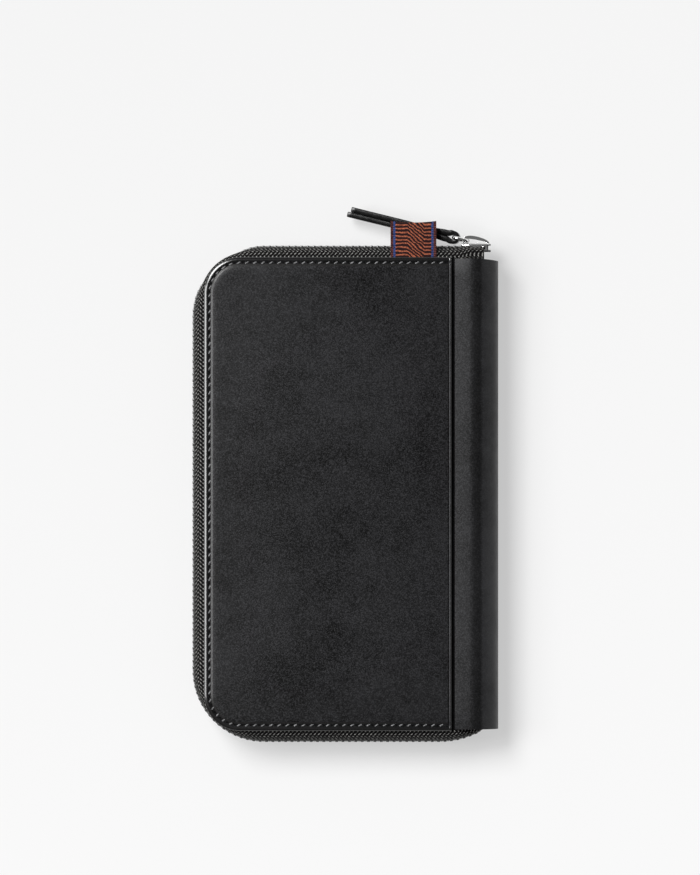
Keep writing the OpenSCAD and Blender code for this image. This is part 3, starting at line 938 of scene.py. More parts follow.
def spine_half(name, inset, thickness, end_inset, upper):
    """Half of the spine's leather or lining, dense enough to bend."""
    rows = []
    for i in range(SPINE_ROWS + 1):
        x, z = spine_profile(i / SPINE_ROWS, inset + thickness / 2)
        bend = max(0.0, (x - SPINE_X) / SPINE_R)
        low = end_inset - SPINE_HIGH.y - SPINE_OVERHANG
        high = -low - SPINE_ROUND * bend ** 2
        if not upper:
            z = THICK - z
        rows.append([Vector((x, low + (high - low) * j / SPINE_COLUMNS, z))
                     for j in range(SPINE_COLUMNS + 1)])
    obj = wrapped_sheet(name, rows)
    thicken(obj, thickness)
    if thickness > 2 * SPINE_EDGE_ROUND:
        round_edges(obj, SPINE_EDGE_ROUND, 3, 60)
    smooth(obj, 45)
    return obj, flat_size(rows)


LINING_T = 0.5 * MM
LINING_INSET = 3 * MM
LINING_GAP = 0.05 * MM


def build_spine():
    """Leather and lining of the spine, each in two halves, an upper and a lower."""
    for upper in (True, False):
        word = "upper" if upper else "lower"
        leather_half, _ = spine_half(f"spine_leather_{word}", 0, COVER_T, 0, upper)
        lining_half, lining_size = spine_half(f"spine_lining_{word}", COVER_T + LINING_GAP, LINING_T,
                                              LINING_INSET, upper)
        for piece, material, slot, node in (
                (leather_half, SPINE_LEATHER, "cover_leather", "spine_leather"),
                (lining_half, LINING, "lining_fabric", "spine_lining")):
            # Up to the groove's end the spine's leather and lining are painted near black, as painted shade
            # in the groove and under the panel
            piece.data.materials.append(material)
            piece.data.materials.append(GROOVE_PAINTED_SHADE_LEATHER)
            for polygon in piece.data.polygons:
                polygon.material_index = int(polygon.center.x < GROOVE_END)
            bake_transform(piece)
            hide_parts(node)


def turned(centre, radius, angle):
    """The point at a distance from another, in a direction."""
    return centre + radius * Vector((math.cos(angle), math.sin(angle)))


def zip_at(distance):
    """Point and outward direction of the teeth's centre line, from the slider round to the lower end."""
    quarter = math.pi / 2
    if distance < TOP_RUN:
        return Vector((TEETH_START - distance, ZIP_Y)), quarter
    distance -= TOP_RUN
    if distance < CORNER_RUN:
        turn = quarter + quarter * distance / CORNER_RUN
        return turned(Vector((CORNER_X, CORNER_Y)), ZIP_CORNER_R, turn), turn
    distance -= CORNER_RUN
    if distance < SIDE_RUN:
        return Vector((ZIP_LEFT, CORNER_Y - distance)), 2 * quarter
    distance -= SIDE_RUN
    if distance < CORNER_RUN:
        turn = 2 * quarter + quarter * distance / CORNER_RUN
        return turned(Vector((CORNER_X, -CORNER_Y)), ZIP_CORNER_R, turn), turn
    distance -= CORNER_RUN
    if distance < BOTTOM_RUN:
        return Vector((CORNER_X + distance, -ZIP_Y)), 3 * quarter
    distance -= BOTTOM_RUN
    turn = 3 * quarter + ZIP_END_ANGLE * distance / END_RUN
    return turned(Vector((ZIP_END_X, ZIP_END_R - ZIP_Y)), ZIP_END_R, turn), turn


def leather_edge_at(share):
    """Point and outward direction of the leather's edge beside the upper zip corner."""
    flat = CORNER_X - CORNER_R - LEFT_X
    arc = CORNER_R * math.pi / 2
    distance = share * (2 * flat + arc)
    if distance < flat:
        return Vector((CORNER_X - distance, HALF_H)), math.pi / 2
    if distance < flat + arc:
        turn = math.pi / 2 + (distance - flat) / CORNER_R
        return turned(Vector((LEFT_X + CORNER_R, HALF_H - CORNER_R)), CORNER_R, turn), turn
    return Vector((LEFT_X, HALF_H - CORNER_R - (distance - flat - arc))), math.pi


def flipped(place):
    """A point and direction at the upper end, mirrored to the lower end."""
    return Vector((place[0].x, -place[0].y)), -place[1]


# A tape station: teeth point, leather edge point, outward direction, height and width of the sewn
# band, power of the bow and how far the bow swells
def sewn(teeth, edge, swell=0.0):
    return teeth[0], edge[0], edge[1], BAND_Z, TAPE_BAND, 1.0, swell


def tail(teeth):
    inner = turned(teeth[0], -TAIL_DEPTH, teeth[1])
    return teeth[0], inner, teeth[1], MID_Z - TAIL_RISE, TAIL_BAND, TAIL_POWER, 0.0


# At the upper corner the tape folds over the teeth
FOLD_MIDDLE = 0.43
FOLD_REACH = 0.4
FOLD_SWELL = 1.35 * MM
FOLD_PULL = 1.5 * MM


def fold_share(distance):
    """How far the tape is folded over the teeth at a distance along them, from 0 to 1."""
    share = (distance - TOP_RUN) / CORNER_RUN
    return eased(max(0.0, 1 - abs(share - FOLD_MIDDLE) / FOLD_REACH))


def tooth_place(distance):
    """Point and outward direction of a tooth, drawn in where the tape is folded over it."""
    point, out = zip_at(distance)
    return turned(point, -FOLD_PULL * fold_share(distance), out), out


CORNER_STEPS = 26
END_STEPS = 24
RUN_STEP = 12 * MM


def spread(first, last):
    """Even places from first up to, but without, last."""
    count = max(1, round(abs(last - first) / RUN_STEP))
    return [first + (last - first) * i / count for i in range(count)]


def tape_stations(start_x):
    """Stations along a tape, from behind the slider round to the lower end."""
    up, down = math.pi / 2, -math.pi / 2
    top, bottom = ZIP_Y, -ZIP_Y
    corner = [(zip_at(TOP_RUN + CORNER_RUN * i / CORNER_STEPS), leather_edge_at(i / CORNER_STEPS))
              for i in range(CORNER_STEPS + 1)]
    stations = [tail((Vector((x, top)), up)) for x in spread(start_x, SEWN_END + TAIL_BLEND)]
    stations.append(tail((Vector((SEWN_END + TAIL_BLEND, top)), up)))
    for x in spread(SEWN_END, CORNER_X):
        stations.append(sewn((Vector((x, top)), up), (Vector((x, HALF_H)), up)))
    for i, (_, edge) in enumerate(corner):
        distance = TOP_RUN + CORNER_RUN * i / CORNER_STEPS
        stations.append(sewn(tooth_place(distance), edge, FOLD_SWELL * fold_share(distance)))
    for y in spread(CORNER_Y, -CORNER_Y)[1:]:
        stations.append(sewn((Vector((ZIP_LEFT, y)), math.pi), (Vector((LEFT_X, y)), math.pi)))
    stations += [sewn(flipped(teeth), flipped(edge)) for teeth, edge in reversed(corner)]
    for x in spread(CORNER_X, ZIP_END_X)[1:]:
        stations.append(sewn((Vector((x, bottom)), down), (Vector((x, -HALF_H)), down)))
    for i in range(END_STEPS + 1):
        teeth = zip_at(TEETH_RUN - END_RUN * (1 - i / END_STEPS))
        if teeth[0].x <= SEWN_END:
            stations.append(sewn(teeth, (Vector((teeth[0].x, -HALF_H)), down)))
        elif teeth[0].x >= SEWN_END + TAIL_BLEND:
            stations.append(tail(teeth))
    return stations


TAPE_BOW_STEPS = 10


def tape_row(station):
    """Points of the tape's middle surface at a station: the sewn band, then a bow out to the teeth."""
    teeth, edge, out, low, band, power, swell = station
    low_z = low + TAPE_T / 2
    top_z = MID_Z - TAPE_GAP
    inner = turned(edge, -band, out)
    row = [Vector((inner.x, inner.y, low_z)), Vector((edge.x, edge.y, low_z))]
    for i in range(1, TAPE_BOW_STEPS + 1):
        bow = math.pi / 2 * i / TAPE_BOW_STEPS
        point = edge + (teeth - edge) * math.sin(bow) ** power
        point = turned(point, swell * math.sin(2 * bow), out)
        rise = max(0.0, math.cos(bow)) ** power
        row.append(Vector((point.x, point.y, top_z - (top_z - low_z) * rise)))
    return row


# Tooth: size and rise of its foot, the rise and relative width of each step up to its head, its taper
# and roundings, and the room left before the first tooth and after the last
TOOTH_FOOT = (TOOTH_T, 1.5 * MM, 0.9 * MM)
FOOT_RISE = 0.05 * MM
TOOTH_STEPS = ((0.75, 0.62), (0.35, 1.55), (0.55, 1.0), (0.35, 0.72))
TOOTH_TAPER = 0.87
TOOTH_ROUND = 0.22 * MM
FOOT_INSETS = ((0.3, 0.16), (0.25, 0.05))
FIRST_TOOTH = 1 * MM
LAST_TOOTH = 1.4 * MM


def tooth_model():
    """One tooth: a foot that clamps the tape's edge, a neck and a rounded head."""
    deselect_all()
    bpy.ops.mesh.primitive_cube_add(size=1)
    model = named("tooth_model")
    model.scale = TOOTH_FOOT
    model.location = (0, 0, -TAPE_GAP + FOOT_RISE)
    settle(model)
    mesh = edit(model, "FACE")
    choose(model, mesh.faces, lambda face: face.normal.z > 0.5)
    for rise, width in TOOTH_STEPS:
        bpy.ops.mesh.extrude_region_move(TRANSFORM_OT_translate={"value": (0, 0, rise * MM)})
        bpy.ops.transform.resize(value=(TOOTH_TAPER, width, 1))
    mesh = edit(model, "FACE")
    choose(model, mesh.faces, lambda face: face.normal.z < -0.9 and face.calc_center_median().z < -TAPE_GAP)
    for width, rise in FOOT_INSETS:
        bpy.ops.mesh.inset(thickness=width * MM, depth=rise * MM)
    close_edit()
    outward(model)
    round_edges(model, TOOTH_ROUND, 1, 50)
    shade_round(model)
    return model


def build_zip():
    """Both tapes with their teeth, and the finish of the end stop."""
    rows = [tape_row(station) for station in tape_stations(TEETH_START + TAIL_LENGTH)]
    for side, shift in (("back", 0.0), ("front", TOOTH_PITCH / 2)):
        tape = wrapped_sheet(f"{side}_tape", rows)
        thicken(tape, TAPE_T)
        count = int((TEETH_RUN - FIRST_TOOTH - shift - LAST_TOOTH) / TOOTH_PITCH) + 1
        places = []
        for i in range(count):
            point, out = tooth_place(FIRST_TOOTH + shift + i * TOOTH_PITCH)
            places.append(placed(point, MID_Z, out))
        teeth = repeated(f"{side}_teeth", tooth_model(), places)
        if side == "front":
            flip_over(tape)
            flip_over(teeth)
        smooth(tape, 60)
        finish(tape, TAPE, side, "zip_tape", f"{side}_zip_tape")
        flat_size(rows)
        finish(teeth, TEETH, side, "zip_teeth", f"{side}_zip_teeth")
    paint(frame["nodes"]["zip_end_stop"], TEETH)


# Slider: two plates joined by a wedge, a crown over the outer plate
PLATE_T = 0.9 * MM
CROWN_W = 2.4 * MM
CROWN_T = 1.0 * MM
CROWN_SWELL = 0.6 * MM
CROWN_ROUND = 0.48 * MM
LINK_D = 1.7 * MM

# Section of a slider plate: share of its half width, and share of the depth that its side turns in
PLATE_SIDE = [(-1.0, 1.0), (-1.0, 0.5), (-0.97, 0.2), (-0.88, 0.0), (-0.5, 0.0), (0.0, 0.0),
              (0.5, 0.0), (0.88, 0.0), (0.97, 0.2), (1.0, 0.5), (1.0, 1.0)]
PLATE_STEPS = 24
PLATE_TAIL = 0.76
PLATE_SQUARENESS = 6
PLATE_END = 0.5
PLATE_SHEET_T = PLATE_T * 0.85
PLATE_ROUND = 0.2 * MM
OUTER_TURN_IN = -1.0 * MM
INNER_TURN_IN = 0.75 * MM
WEDGE_X = SLIDER_X + 4.4 * MM
WEDGE_R = 1.9 * MM
WEDGE_POINT = 1.5
WEDGE_LAP = 0.1 * MM


def slider_plate(name, middle_y, turn_in):
    """A stamped plate, wide and blunt at the nose and narrow at the tail, with its sides turned in."""
    half_l = (SLIDER_HIGH.x - SLIDER_LOW.x) / 2
    half_w = (SLIDER_HIGH.z - SLIDER_LOW.z) / 2 - PLATE_SHEET_T / 2
    rows = []
    for i in range(PLATE_STEPS + 1):
        place = math.sin(math.pi / 2 * (2 * i / PLATE_STEPS - 1))
        blunt = max(PLATE_END, 1 - place ** PLATE_SQUARENESS) ** (1 / 3)
        width = half_w * blunt * (PLATE_TAIL + (1 - PLATE_TAIL) * (place + 1) / 2)
        rows.append([Vector((SLIDER_X + half_l * place, middle_y + turn_in * depth * blunt ** 2,
                             MID_Z + width * side)) for side, depth in PLATE_SIDE])
    obj = wrapped_sheet(name, rows)
    thicken(obj, PLATE_SHEET_T)
    round_edges(obj, PLATE_ROUND, 2, 50)
    smooth(obj, 45)
    return obj


def slider_wedge():
    """The post between the plates, pointed towards the joined teeth."""
    deselect_all()
    depth = SLIDER_HIGH.y - SLIDER_LOW.y - 2 * PLATE_T + WEDGE_LAP
    bpy.ops.mesh.primitive_cylinder_add(vertices=24, radius=WEDGE_R, depth=depth)
    obj = named("slider_wedge")
    obj.rotation_euler = (math.radians(90), 0, 0)
    obj.location = (WEDGE_X, (SLIDER_LOW.y + SLIDER_HIGH.y) / 2, MID_Z)
    settle(obj)
    for vertex in obj.data.vertices:
        if vertex.co.x < WEDGE_X:
            vertex.co.x = WEDGE_X + (vertex.co.x - WEDGE_X) * WEDGE_POINT
    smooth(obj, 40)
    return obj


# Side view of the crown's middle line, in millimetres from the middle of the slider's outer face
CROWN_PATH = [(-5.6, -0.4), (-5.7, 0.8), (-5.2, 2.0), (-4.0, 2.6), (-2.2, 2.65), (-0.2, 2.35), (1.8, 1.9),
              (3.6, 1.35), (5.0, 0.6), (5.7, -0.4)]
CROWN_STEPS = 40


def curve_points(points, steps):
    """Smooth line through given points."""
    line = []
    last = len(points) - 1
    for i in range(steps + 1):
        spot = i / steps * last
        k = min(int(spot), last - 1)
        t = spot - k
        p0, p1, p2, p3 = (Vector(points[max(0, min(last, k + d))]) for d in (-1, 0, 1, 2))
        line.append(0.5 * (2 * p1 + (p2 - p0) * t + (2 * p0 - 5 * p1 + 4 * p2 - p3) * t * t
                           + (3 * p1 - p0 - 3 * p2 + p3) * t ** 3))
    return line


def crown():
    """The cast arch that holds the link, thicker towards the slider's nose."""
    line = curve_points(CROWN_PATH, CROWN_STEPS)
    rows = []
    for i, point in enumerate(line):
        way = (line[min(i + 1, CROWN_STEPS)] - line[max(i - 1, 0)]).normalized()
        half_t = (CROWN_T + CROWN_SWELL * math.sin(math.pi * i / CROWN_STEPS) ** 2) / 2
        side = Vector((-way.y, way.x)) * half_t
        middle = Vector((SLIDER_X, SLIDER_HIGH.y)) + point * MM
        upper, lower = middle - side, middle + side
        ring = ((upper, -0.5), (upper, 0.5), (lower, 0.5), (lower, -0.5), (upper, -0.5))
        rows.append([Vector((spot.x, spot.y, MID_Z + CROWN_W * share)) for spot, share in ring])
    obj = wrapped_sheet("crown_arch", rows)
    edit(obj)
    bpy.ops.mesh.select_all(action="SELECT")
    bpy.ops.mesh.remove_doubles(threshold=1e-7)
    bpy.ops.mesh.fill_holes(sides=4)
    close_edit()
    outward(obj)
    round_edges(obj, CROWN_ROUND, 4, 50)
    smooth(obj, 50)
    return obj


LINK_PIVOT = Vector(JOINTS["pull_swing"]["pos_m"])
STRAP_PIVOT = Vector(JOINTS["strap_swing"]["pos_m"])
LINK_W = 7.6 * MM
LINK_BEND = 2.0 * MM


def link():
    """A closed loop of wire with round corners, from the crown to the strap."""
    way = STRAP_PIVOT - LINK_PIVOT
    deselect_all()
    bpy.ops.mesh.primitive_torus_add(major_segments=48, minor_segments=16, major_radius=LINK_BEND,
                                     minor_radius=LINK_D / 2)
    obj = named("link_loop")
    for vertex in obj.data.vertices:
        vertex.co.x += math.copysign(way.length / 2 - LINK_BEND, vertex.co.x)
        vertex.co.y += math.copysign(LINK_W / 2 - LINK_BEND, vertex.co.y)
    obj.rotation_euler = (math.radians(90), 0, 0)
    settle(obj)
    obj.rotation_euler = (0, 0, math.atan2(way.y, way.x))
    obj.location = (LINK_PIVOT + STRAP_PIVOT) / 2
    settle(obj)
    smooth(obj, 60)
    return obj


# Strap: a lace folded round the link's far bar
STRAP_T = 1.95 * MM
STRAP_W = 5.0 * MM
STRAP_GAP = 0.02 * MM
STRAP_SPLAY = 0.02 * MM
STRAP_SWELL = 0.22
STRAP_SWELL_RUN = 20 * MM
LOOP_SWELL = 0.36
LOOP_SWELL_AT = 3.5 * MM
STRAP_LENGTH = 48.7 * MM
STRAP_TURN = math.radians(166)
STRAP_DROOP = math.radians(7)
LOOP_R = LINK_D / 2 + 0.12 * MM + STRAP_T / 2
LOOP_STEPS = 16
CLOSE_IN = 2.9 * MM
LACE_STEPS = 39
LACE_COLUMNS = 6
LACE_CROWDING = 1.6
LACE_ROUND = 0.4 * MM
SHORT_END = 1.2 * MM


def lace_line():
    """Middle line of the lace in its own plane: out along one layer, round the bar and back."""
    lay = (STRAP_T + STRAP_GAP) / 2
    line = []
    for side, reach in ((1, STRAP_LENGTH), (-1, STRAP_LENGTH - SHORT_END)):
        layer = []
        for i in range(LACE_STEPS + 1):
            x = reach * (1 - i / LACE_STEPS) ** LACE_CROWDING
            off = lay + (LOOP_R - lay) * eased(max(0.0, 1 - x / CLOSE_IN))
            layer.append(Vector((x, side * (off + STRAP_SPLAY * (x / STRAP_LENGTH) ** 3))))
        line += layer if side > 0 else layer[::-1]
        if side > 0:
            for i in range(1, LOOP_STEPS):
                turn = math.pi / 2 + math.pi * i / LOOP_STEPS
                line.append(LOOP_R * Vector((math.cos(turn), math.sin(turn))))
    return line


def strap():
    """Doubled lace, fuller beside its fold and towards its free ends."""
    rows = []
    for point in lace_line():
        rows.append([Vector((point.x, point.y, STRAP_W * (j / LACE_COLUMNS - 0.5)))
                     for j in range(LACE_COLUMNS + 1)])
    obj = wrapped_sheet("pull_lace", rows)
    thicken(obj, STRAP_T)
    for vertex in obj.data.vertices:
        reach = within((vertex.co.x - CLOSE_IN) / STRAP_SWELL_RUN)
        past_bar = max(0.0, vertex.co.x) / LOOP_SWELL_AT
        fullness = past_bar ** 2 * math.exp(2 - 2 * past_bar)
        vertex.co.y *= 1 + STRAP_SWELL * reach + LOOP_SWELL * fullness
    round_edges(obj, LACE_ROUND, 3, 50)
    turn = Matrix.Rotation(STRAP_TURN, 4, "Z") @ Matrix.Rotation(STRAP_DROOP, 4, "Y")
    obj.data.transform(Matrix.Translation(STRAP_PIVOT) @ turn)
    smooth(obj, 50)
    return obj


def build_pull():
    """Slider, crown, link and strap."""
    outer = slider_plate("slider_outer_plate", SLIDER_HIGH.y - PLATE_T / 2, OUTER_TURN_IN)
    inner = slider_plate("slider_inner_plate", SLIDER_LOW.y + PLATE_T / 2, INNER_TURN_IN)
    finish(outer, CHROME, "slider", "bright_metal", "slider_body")
    finish(inner, CHROME, "slider", "bright_metal")
    finish(slider_wedge(), CHROME, "slider", "bright_metal")
    finish(crown(), CHROME, "slider", "bright_metal", "slider_crown")
    finish(link(), CHROME, "link", "bright_metal", "pull_link")
    finish(strap(), PULL_LEATHER, "strap", "pull_leather", "pull_strap")


# Woven tab: one ribbon, folded, with both ends sewn in under the panel
RIBBON_T = 0.4 * MM
RIBBON_SHEET_T = RIBBON_T * 0.9
TAB_COLUMNS = 28
TAB_SAG = 0.7 * MM
TAB_WAVE = 0.25 * MM
TAB_WAVE_TURN = 3.1
TAB_WAVE_SHIFT = 0.6
TAB_GAP = 0.6 * MM
TAB_LAP = 0.5 * MM
TAB_STEPS = 12
TAB_FOLD_STEPS = 8
TAB_FALL = 1.25


def tab_path():
    """Side view of the ribbon: out along the top layer, round the fold and back along the lower one."""
    seat = TAB_HIGH.z
    fold_r = TAB_GAP / 2 + RIBBON_T / 2
    fold_y = TAB_HIGH.y - fold_r - RIBBON_T / 2
    fold_z = TAB_LOW.z + fold_r + RIBBON_T / 2
    top = seat - RIBBON_T / 2
    low = seat - RIBBON_T * 1.5
    run = fold_y - HALF_H

    def layer(start_z, end_z):
        """One layer of the ribbon, from the leather's edge out to the fold."""
        points = []
        for i in range(1, TAB_STEPS + 1):
            share = i / TAB_STEPS
            points.append(Vector((HALF_H + run * share, start_z + (end_z - start_z) * share ** TAB_FALL)))
        return points

    path = [Vector((TAB_LOW.y, top)), Vector((HALF_H - TAB_LAP, top)), *layer(top, fold_z + fold_r)]
    for i in range(1, TAB_FOLD_STEPS):
        turn = math.pi / 2 - math.pi * i / TAB_FOLD_STEPS
        path.append(turned(Vector((fold_y, fold_z)), fold_r, turn))
    path += layer(low, fold_z - fold_r)[::-1]
    path += [Vector((HALF_H - TAB_LAP, low)), Vector((TAB_LOW.y, low))]
    return path


def build_tab():
    """The folded ribbon, slightly waved across and hollow at its fold."""
    width = TAB_RIGHT - TAB_LEFT
    rows = []
    path = tab_path()
    for point in path:
        row = []
        for j in range(TAB_COLUMNS + 1):
            side = 2 * j / TAB_COLUMNS - 1
            out = max(0.0, (point.x - HALF_H) / (TAB_HIGH.y - HALF_H))
            dip = TAB_SAG * (1 - side ** 2) * out ** 3
            lift = TAB_WAVE * math.sin(TAB_WAVE_TURN * side + TAB_WAVE_SHIFT) * out
            row.append(Vector((TAB_LEFT + width * j / TAB_COLUMNS, point.x - dip, point.y + lift)))
        rows.append(row)
    tab = wrapped_sheet("woven_tab_ribbon", rows)
    thicken(tab, RIBBON_SHEET_T)
    smooth(tab, 60)
    finish(tab, RIBBON, "front", "tab_fabric", "woven_tab")
    length = sum((b - a).length for a, b in zip(path, path[1:]))


# Inside: linings, and pockets that are sewn on them in layers
POCKET_R = CORNER_R - 6.5 * MM
LINING_R = CORNER_R - LINING_INSET
SEAM_INSET = 2.3 * MM
WINDOW_SIZE = (80 * MM, 8 * MM)
WINDOW_DROP = 14 * MM
THUMB_R = 12 * MM
THUMB_CUT = 10 * MM
POCKET_ROUND = 0.25 * MM
LEVEL = 0.01 * MM
RIM_WIDTH = 0.8 * MM
TOP_SEAM_INSET = 1.5 * MM
TOP_SEAM_END = 3 * MM
NOTCH_ROOM = 2 * MM
WINDOW_SEAM = 1.6 * MM
LAYER_ROOM = 1 * MM
POCKET_STITCH_PITCH = 3 * MM
POCKET_STITCH_LENGTH = 2.1 * MM
POCKET_STITCH_WIDTH = 0.5 * MM
POCKET_STITCH_RISE = 0.02 * MM
WEAVE_STEPS = (40, 12)
POCKET_CROWN = ((2.6, -0.03), (2.4, 0.05), (2.6, 0.05))


def node_box(node, side):
    """A node's corners as if it were on the back cover."""
    low, high = (Vector(corner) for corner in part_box(node))
    if side == "front":
        low.z, high.z = THICK - high.z, THICK - low.z
    return low, high


def cut_window(obj, centre):
    """Cuts the zip's opening out of a flat face."""
    edit(obj, "FACE")
    for axis in (0, 1):
        for side in (-1, 1):
            place = Vector((centre.x, centre.y, 0))
            place[axis] += side * WINDOW_SIZE[axis] / 2
            normal = Vector((0, 0, 0))
            normal[axis] = 1
            bpy.ops.mesh.select_all(action="SELECT")
            bpy.ops.mesh.bisect(plane_co=place, plane_no=normal)
    mesh = edit(obj, "FACE")
    choose(obj, mesh.faces, lambda face: all(
        abs(face.calc_center_median()[axis] - centre[axis]) < WINDOW_SIZE[axis] / 2 for axis in (0, 1)))
    bpy.ops.mesh.delete(type="FACE")
    close_edit()


def cut_notch(obj, centre):
    """Cuts a thumb notch out of a pocket's upper edge."""
    deselect_all()
    bpy.ops.mesh.primitive_cylinder_add(vertices=56, radius=THUMB_R, depth=THUMB_CUT, location=centre)
    cutter = named("notch_cutter")
    apply_modifier(obj, "BOOLEAN", object=cutter, operation="DIFFERENCE", solver="EXACT")
    bpy.data.objects.remove(cutter)


def set_rim_apart(obj, top):
    """Marks a strip along the edges of a sheet's upper face and leaves the rest of that face selected."""
    def upper(face):
        return face.normal.z > 0.9 and face.calc_center_median().z > top - LEVEL

    edit(obj, "FACE").faces.layers.int.new("rim")
    mesh = bmesh.from_edit_mesh(obj.data)
    choose(obj, mesh.faces, upper)
    bpy.ops.mesh.inset(thickness=RIM_WIDTH, depth=0, use_even_offset=True)
    mesh = bmesh.from_edit_mesh(obj.data)
    mark = mesh.faces.layers.int["rim"]
    for face in mesh.faces:
        face[mark] = int(upper(face) and not face.select)
    bmesh.update_edit_mesh(obj.data)


def inside_sheet(node, side, corner, both=False, window=None, notch=None, rim=True, crown=True):
    """A soft sheet in the place of a lining or pocket, slightly crowned, with rounded edges."""
    low, high = node_box(node, side)
    obj = sheet_plane(f"{node}_sheet", low, high, corner, 12, both)
    if window:
        cut_window(obj, window)
    extrude_up(obj, high.z - low.z)
    close_edit()
    outward(obj)
    if notch:
        cut_notch(obj, notch)
    if rim:
        set_rim_apart(obj, high.z)
        if crown:
            inset_steps(POCKET_CROWN)
        close_edit()
    round_edges(obj, POCKET_ROUND, 2, 50)
    smooth(obj, 25)
    if notch:
        apply_modifier(obj, "WEIGHTED_NORMAL", mode="FACE_AREA", weight=100, keep_sharp=True)
    return obj


def finish_inside(obj, side, material, slot, *nodes):
    """Moves a piece to its cover and finishes it."""
    if side == "front":
        flip_over(obj)
    return finish(obj, material, side, slot, *nodes)


def burnish_rim(obj):
    """Polishes a pocket's edges and the strip along them."""
    obj.data.materials.append(EDGE_LEATHER)
    rim = obj.data.attributes["rim"]
    for polygon, marked in zip(obj.data.polygons, [item.value for item in rim.data]):
        polygon.material_index = int(marked or abs(polygon.normal.z) < 0.93)
    obj.data.attributes.remove(rim)


def pocket_seam(node, side, covered_to, extra, notch_x):
    """Stitches along a pocket's upper edge and down its sides, to the next layer or round its lower end."""
    low, high = node_box(node, side)
    left, right = low.x + SEAM_INSET, high.x - SEAM_INSET
    top = high.y - TOP_SEAM_INSET
    first, last = (left + TOP_SEAM_END, top), (right - TOP_SEAM_END, top)
    runs = list(extra)
    if notch_x is not None:
        room = THUMB_R + NOTCH_ROOM
        runs += [straight_line(first, (notch_x - room, top)), straight_line((notch_x + room, top), last)]
    elif not extra:
        runs.append(straight_line(first, last))
    if covered_to is None:
        bottom = low.y + SEAM_INSET
        radius = POCKET_R - SEAM_INSET
        runs += [straight_line((left, top), (left, bottom + radius)),
                 quarter_turn((left + radius, bottom + radius), radius, 180),
                 straight_line((left + radius, bottom), (right, bottom)),
                 straight_line((right, bottom), (right, top))]
    elif not extra:
        runs += [straight_line((x, top), (x, covered_to + LAYER_ROOM)) for x in (left, right)]
    pieces = stitches(f"{node}_stitching", runs, high.z + POCKET_STITCH_RISE, 0.0, POCKET_STITCH_PITCH,
                      POCKET_STITCH_LENGTH, POCKET_STITCH_WIDTH, 0.0)
    for piece, material in zip(pieces, (THREAD, NEEDLE_HOLE)):
        finish_inside(piece, side, material, "pocket_leather")


def zip_pocket_runs(low, high, covered_to, centre):
    """Lines of the zip pocket's seams: its upper end, and round its opening."""
    left, right, top = low.x + SEAM_INSET, high.x - SEAM_INSET, high.y - SEAM_INSET
    radius = POCKET_R - SEAM_INSET
    bottom = covered_to + LAYER_ROOM
    half_w, half_h = (size / 2 + WINDOW_SEAM for size in WINDOW_SIZE)
    corners = [(centre.x + x * half_w, centre.y + y * half_h)
               for x, y in ((-1, -1), (1, -1), (1, 1), (-1, 1))]
    return [straight_line((right, bottom), (right, top)),
            straight_line((right, top), (left + radius, top)),
            quarter_turn((left + radius, top - radius), radius, 90),
            straight_line((left, top - radius), (left, bottom)),
            *(straight_line(corners[i], corners[(i + 1) % 4]) for i in range(4))]


def build_pocket_zip():
    """Woven tape behind the zip pocket's opening, and the finish of its teeth, slider and pull."""
    low, high = node_box("pocket_zip_tape", "back")
    z = (low.z + high.z) / 2
    steps_x, steps_y = WEAVE_STEPS
    rows = []
    for i in range(steps_x + 1):
        x = low.x + (high.x - low.x) * i / steps_x
        rows.append([Vector((x, low.y + (high.y - low.y) * j / steps_y, z)) for j in range(steps_y + 1)])
    tape = wrapped_sheet("pocket_zip_weave", rows)
    thicken(tape, high.z - low.z)
    finish(tape, TAPE, "back", "zip_tape", "pocket_zip_tape")
    flat_size(rows)
    for node, material in (("pocket_zip_teeth", TEETH), ("pocket_slider", CHROME), ("pocket_pull", CHROME)):
        paint(frame["nodes"][node], material)


def build_inside():
    """Linings, pockets and their seams, from the lining up, and the finish of the boards."""
    for side in ("front", "back"):
        lining = inside_sheet(f"{side}_lining", side, LINING_R, True, rim=False)
        finish_inside(lining, side, LINING, "lining_fabric", f"{side}_lining")
        low, high = node_box(f"{side}_lining", side)
        paint(frame["nodes"][f"{side}_board"], BOARD)
    low, high = node_box("zip_pocket", "back")
    centre = Vector(((low.x + high.x) / 2, high.y - WINDOW_DROP, 0))
    layers = [("front", ["slip_pocket", *(f"card_slot_{i}" for i in range(1, 7))]),
              ("back", ["zip_pocket", "ticket_pocket", "passport_pocket"])]
    for side, nodes in layers:
        tops = [node_box(node, side)[1].y for node in nodes[1:]] + [None]
        for node, covered_to in zip(nodes, tops):
            whole = node == "zip_pocket"
            top = node_box(node, side)[1]
            notch = Vector((centre.x, top.y, top.z)) if node == "passport_pocket" else None
            crown = not whole and notch is None
            piece = inside_sheet(node, side, POCKET_R, whole, centre if whole else None, notch, crown=crown)
            finish_inside(piece, side, POCKET_LEATHER, "pocket_leather", node)
            burnish_rim(piece)
            extra = zip_pocket_runs(low, high, covered_to, centre) if whole else ()
            pocket_seam(node, side, covered_to, extra, centre.x if notch else None)
    build_pocket_zip()


# Lamp towards the upper left of the picture, at the slope that the shadow shows, and a strip at the left
LAMP_AT = Vector((-0.95, 0.95, 1.9))
LAMP_SIZE = 1.05
LAMP_POWER = 45
STRIP_AT = Vector((-1.25, 0.1, 1.35))
STRIP_SIZE = (0.6, 0.7)
STRIP_POWER = 11
LAMP_FALL = 3.0
PAPER_GLOW = 0.5
PAPER_LEVEL = 0.8
PAPER_LIMIT = 0.95

# Room: its light on the organizer, and the brightness that is seen between two heights
ROOM_LEVEL = 0.2
HORIZON = (0.25, 0.5, 1.0, 0.04)
CEILING = (0.72, 0.9, 0.0, 0.12)


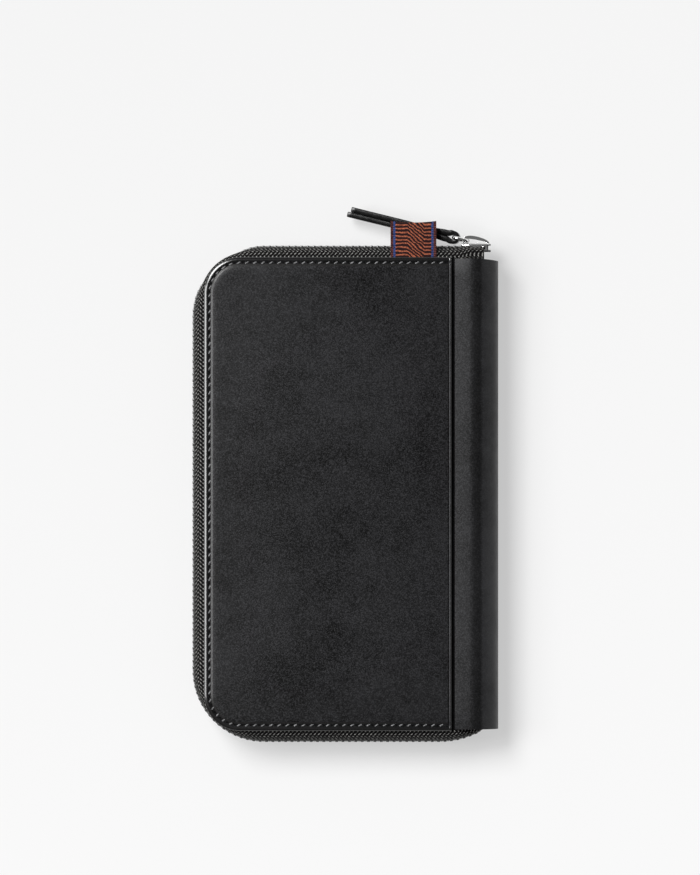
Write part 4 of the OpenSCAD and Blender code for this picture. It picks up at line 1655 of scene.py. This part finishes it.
def seen_directly(made):
    """1 for the camera's rays and those that polished or clear surfaces send on, otherwise 0."""
    camera = made.add("ShaderNodeLightPath")
    rays = camera + camera.sibling("Is Glossy Ray") + camera.sibling("Is Transmission Ray")
    return rays.at_most(1.0)


def area_lamp(name, place, power):
    """A soft lamp that faces the organizer."""
    light = bpy.data.lights.new(name, "AREA")
    light.energy = power
    lamp = bpy.data.objects.new(name, light)
    bpy.context.collection.objects.link(lamp)
    lamp.location = place
    lamp.rotation_euler = (-place).to_track_quat("-Z", "Y").to_euler()
    return light


def build_stage():
    """White paper that keeps the shadow, a dim room with a bright horizon, and two soft lamps."""
    deselect_all()
    bpy.ops.mesh.primitive_plane_add(size=6, location=(0, 0, 0))
    floor = named("floor")
    paper = Finish("white_paper")
    reach = paper.add("ShaderNodeVectorMath", {"operation": "DISTANCE"}, {0: paper.place(), 1: LAMP_AT},
                      output="Value")
    even = (reach / LAMP_AT.length).power(LAMP_FALL) * PAPER_LEVEL
    matt = paper.add("ShaderNodeBsdfDiffuse", sockets={"Color": even.at_most(PAPER_LIMIT)})
    glow = paper.add("ShaderNodeEmission", sockets={"Color": grey(1.0), "Strength": 1.0})
    share = seen_directly(paper) * PAPER_GLOW
    mixed = paper.add("ShaderNodeMixShader", sockets={0: share, 1: matt, 2: glow})
    paper.add("ShaderNodeOutputMaterial", sockets={"Surface": mixed})
    floor.data.materials.append(paper.material)
    window = area_lamp("window", LAMP_AT, LAMP_POWER)
    window.shape = "DISK"
    window.size = LAMP_SIZE
    strip = area_lamp("strip", STRIP_AT, STRIP_POWER)
    strip.shape = "RECTANGLE"
    strip.size, strip.size_y = STRIP_SIZE
    room = Finish("studio_room", bpy.data.worlds)
    direction = room.add("ShaderNodeTexCoord", output="Generated")
    height = room.parts(direction)[2]
    walls = room.grade(height, *HORIZON) + room.grade(height, *CEILING)
    level = ROOM_LEVEL + seen_directly(room) * (walls - ROOM_LEVEL)
    sky = room.add("ShaderNodeBackground", sockets={"Color": grey(1.0), "Strength": level})
    room.add("ShaderNodeOutputWorld", sockets={"Surface": sky})
    bpy.context.scene.world = room.material


def build_camera():
    """A long lens that looks straight down, at the photograph's scale."""
    camera_data = bpy.data.cameras.new("camera")
    camera_data.sensor_fit = "VERTICAL"
    camera_data.sensor_height = 36
    camera_data.lens = camera_data.sensor_height * CAMERA_RISE / (IMAGE_H * MM_PER_PIXEL * MM)
    camera = bpy.data.objects.new("camera", camera_data)
    bpy.context.collection.objects.link(camera)
    camera.location = (VIEW_CENTRE.x, VIEW_CENTRE.y, THICK + CAMERA_RISE)
    bpy.context.scene.camera = camera
    bpy.context.scene.view_settings.view_transform = "Standard"


build_camera()
build_stage()
build_covers()
build_spine()
build_zip()
build_pull()
build_tab()
build_inside()
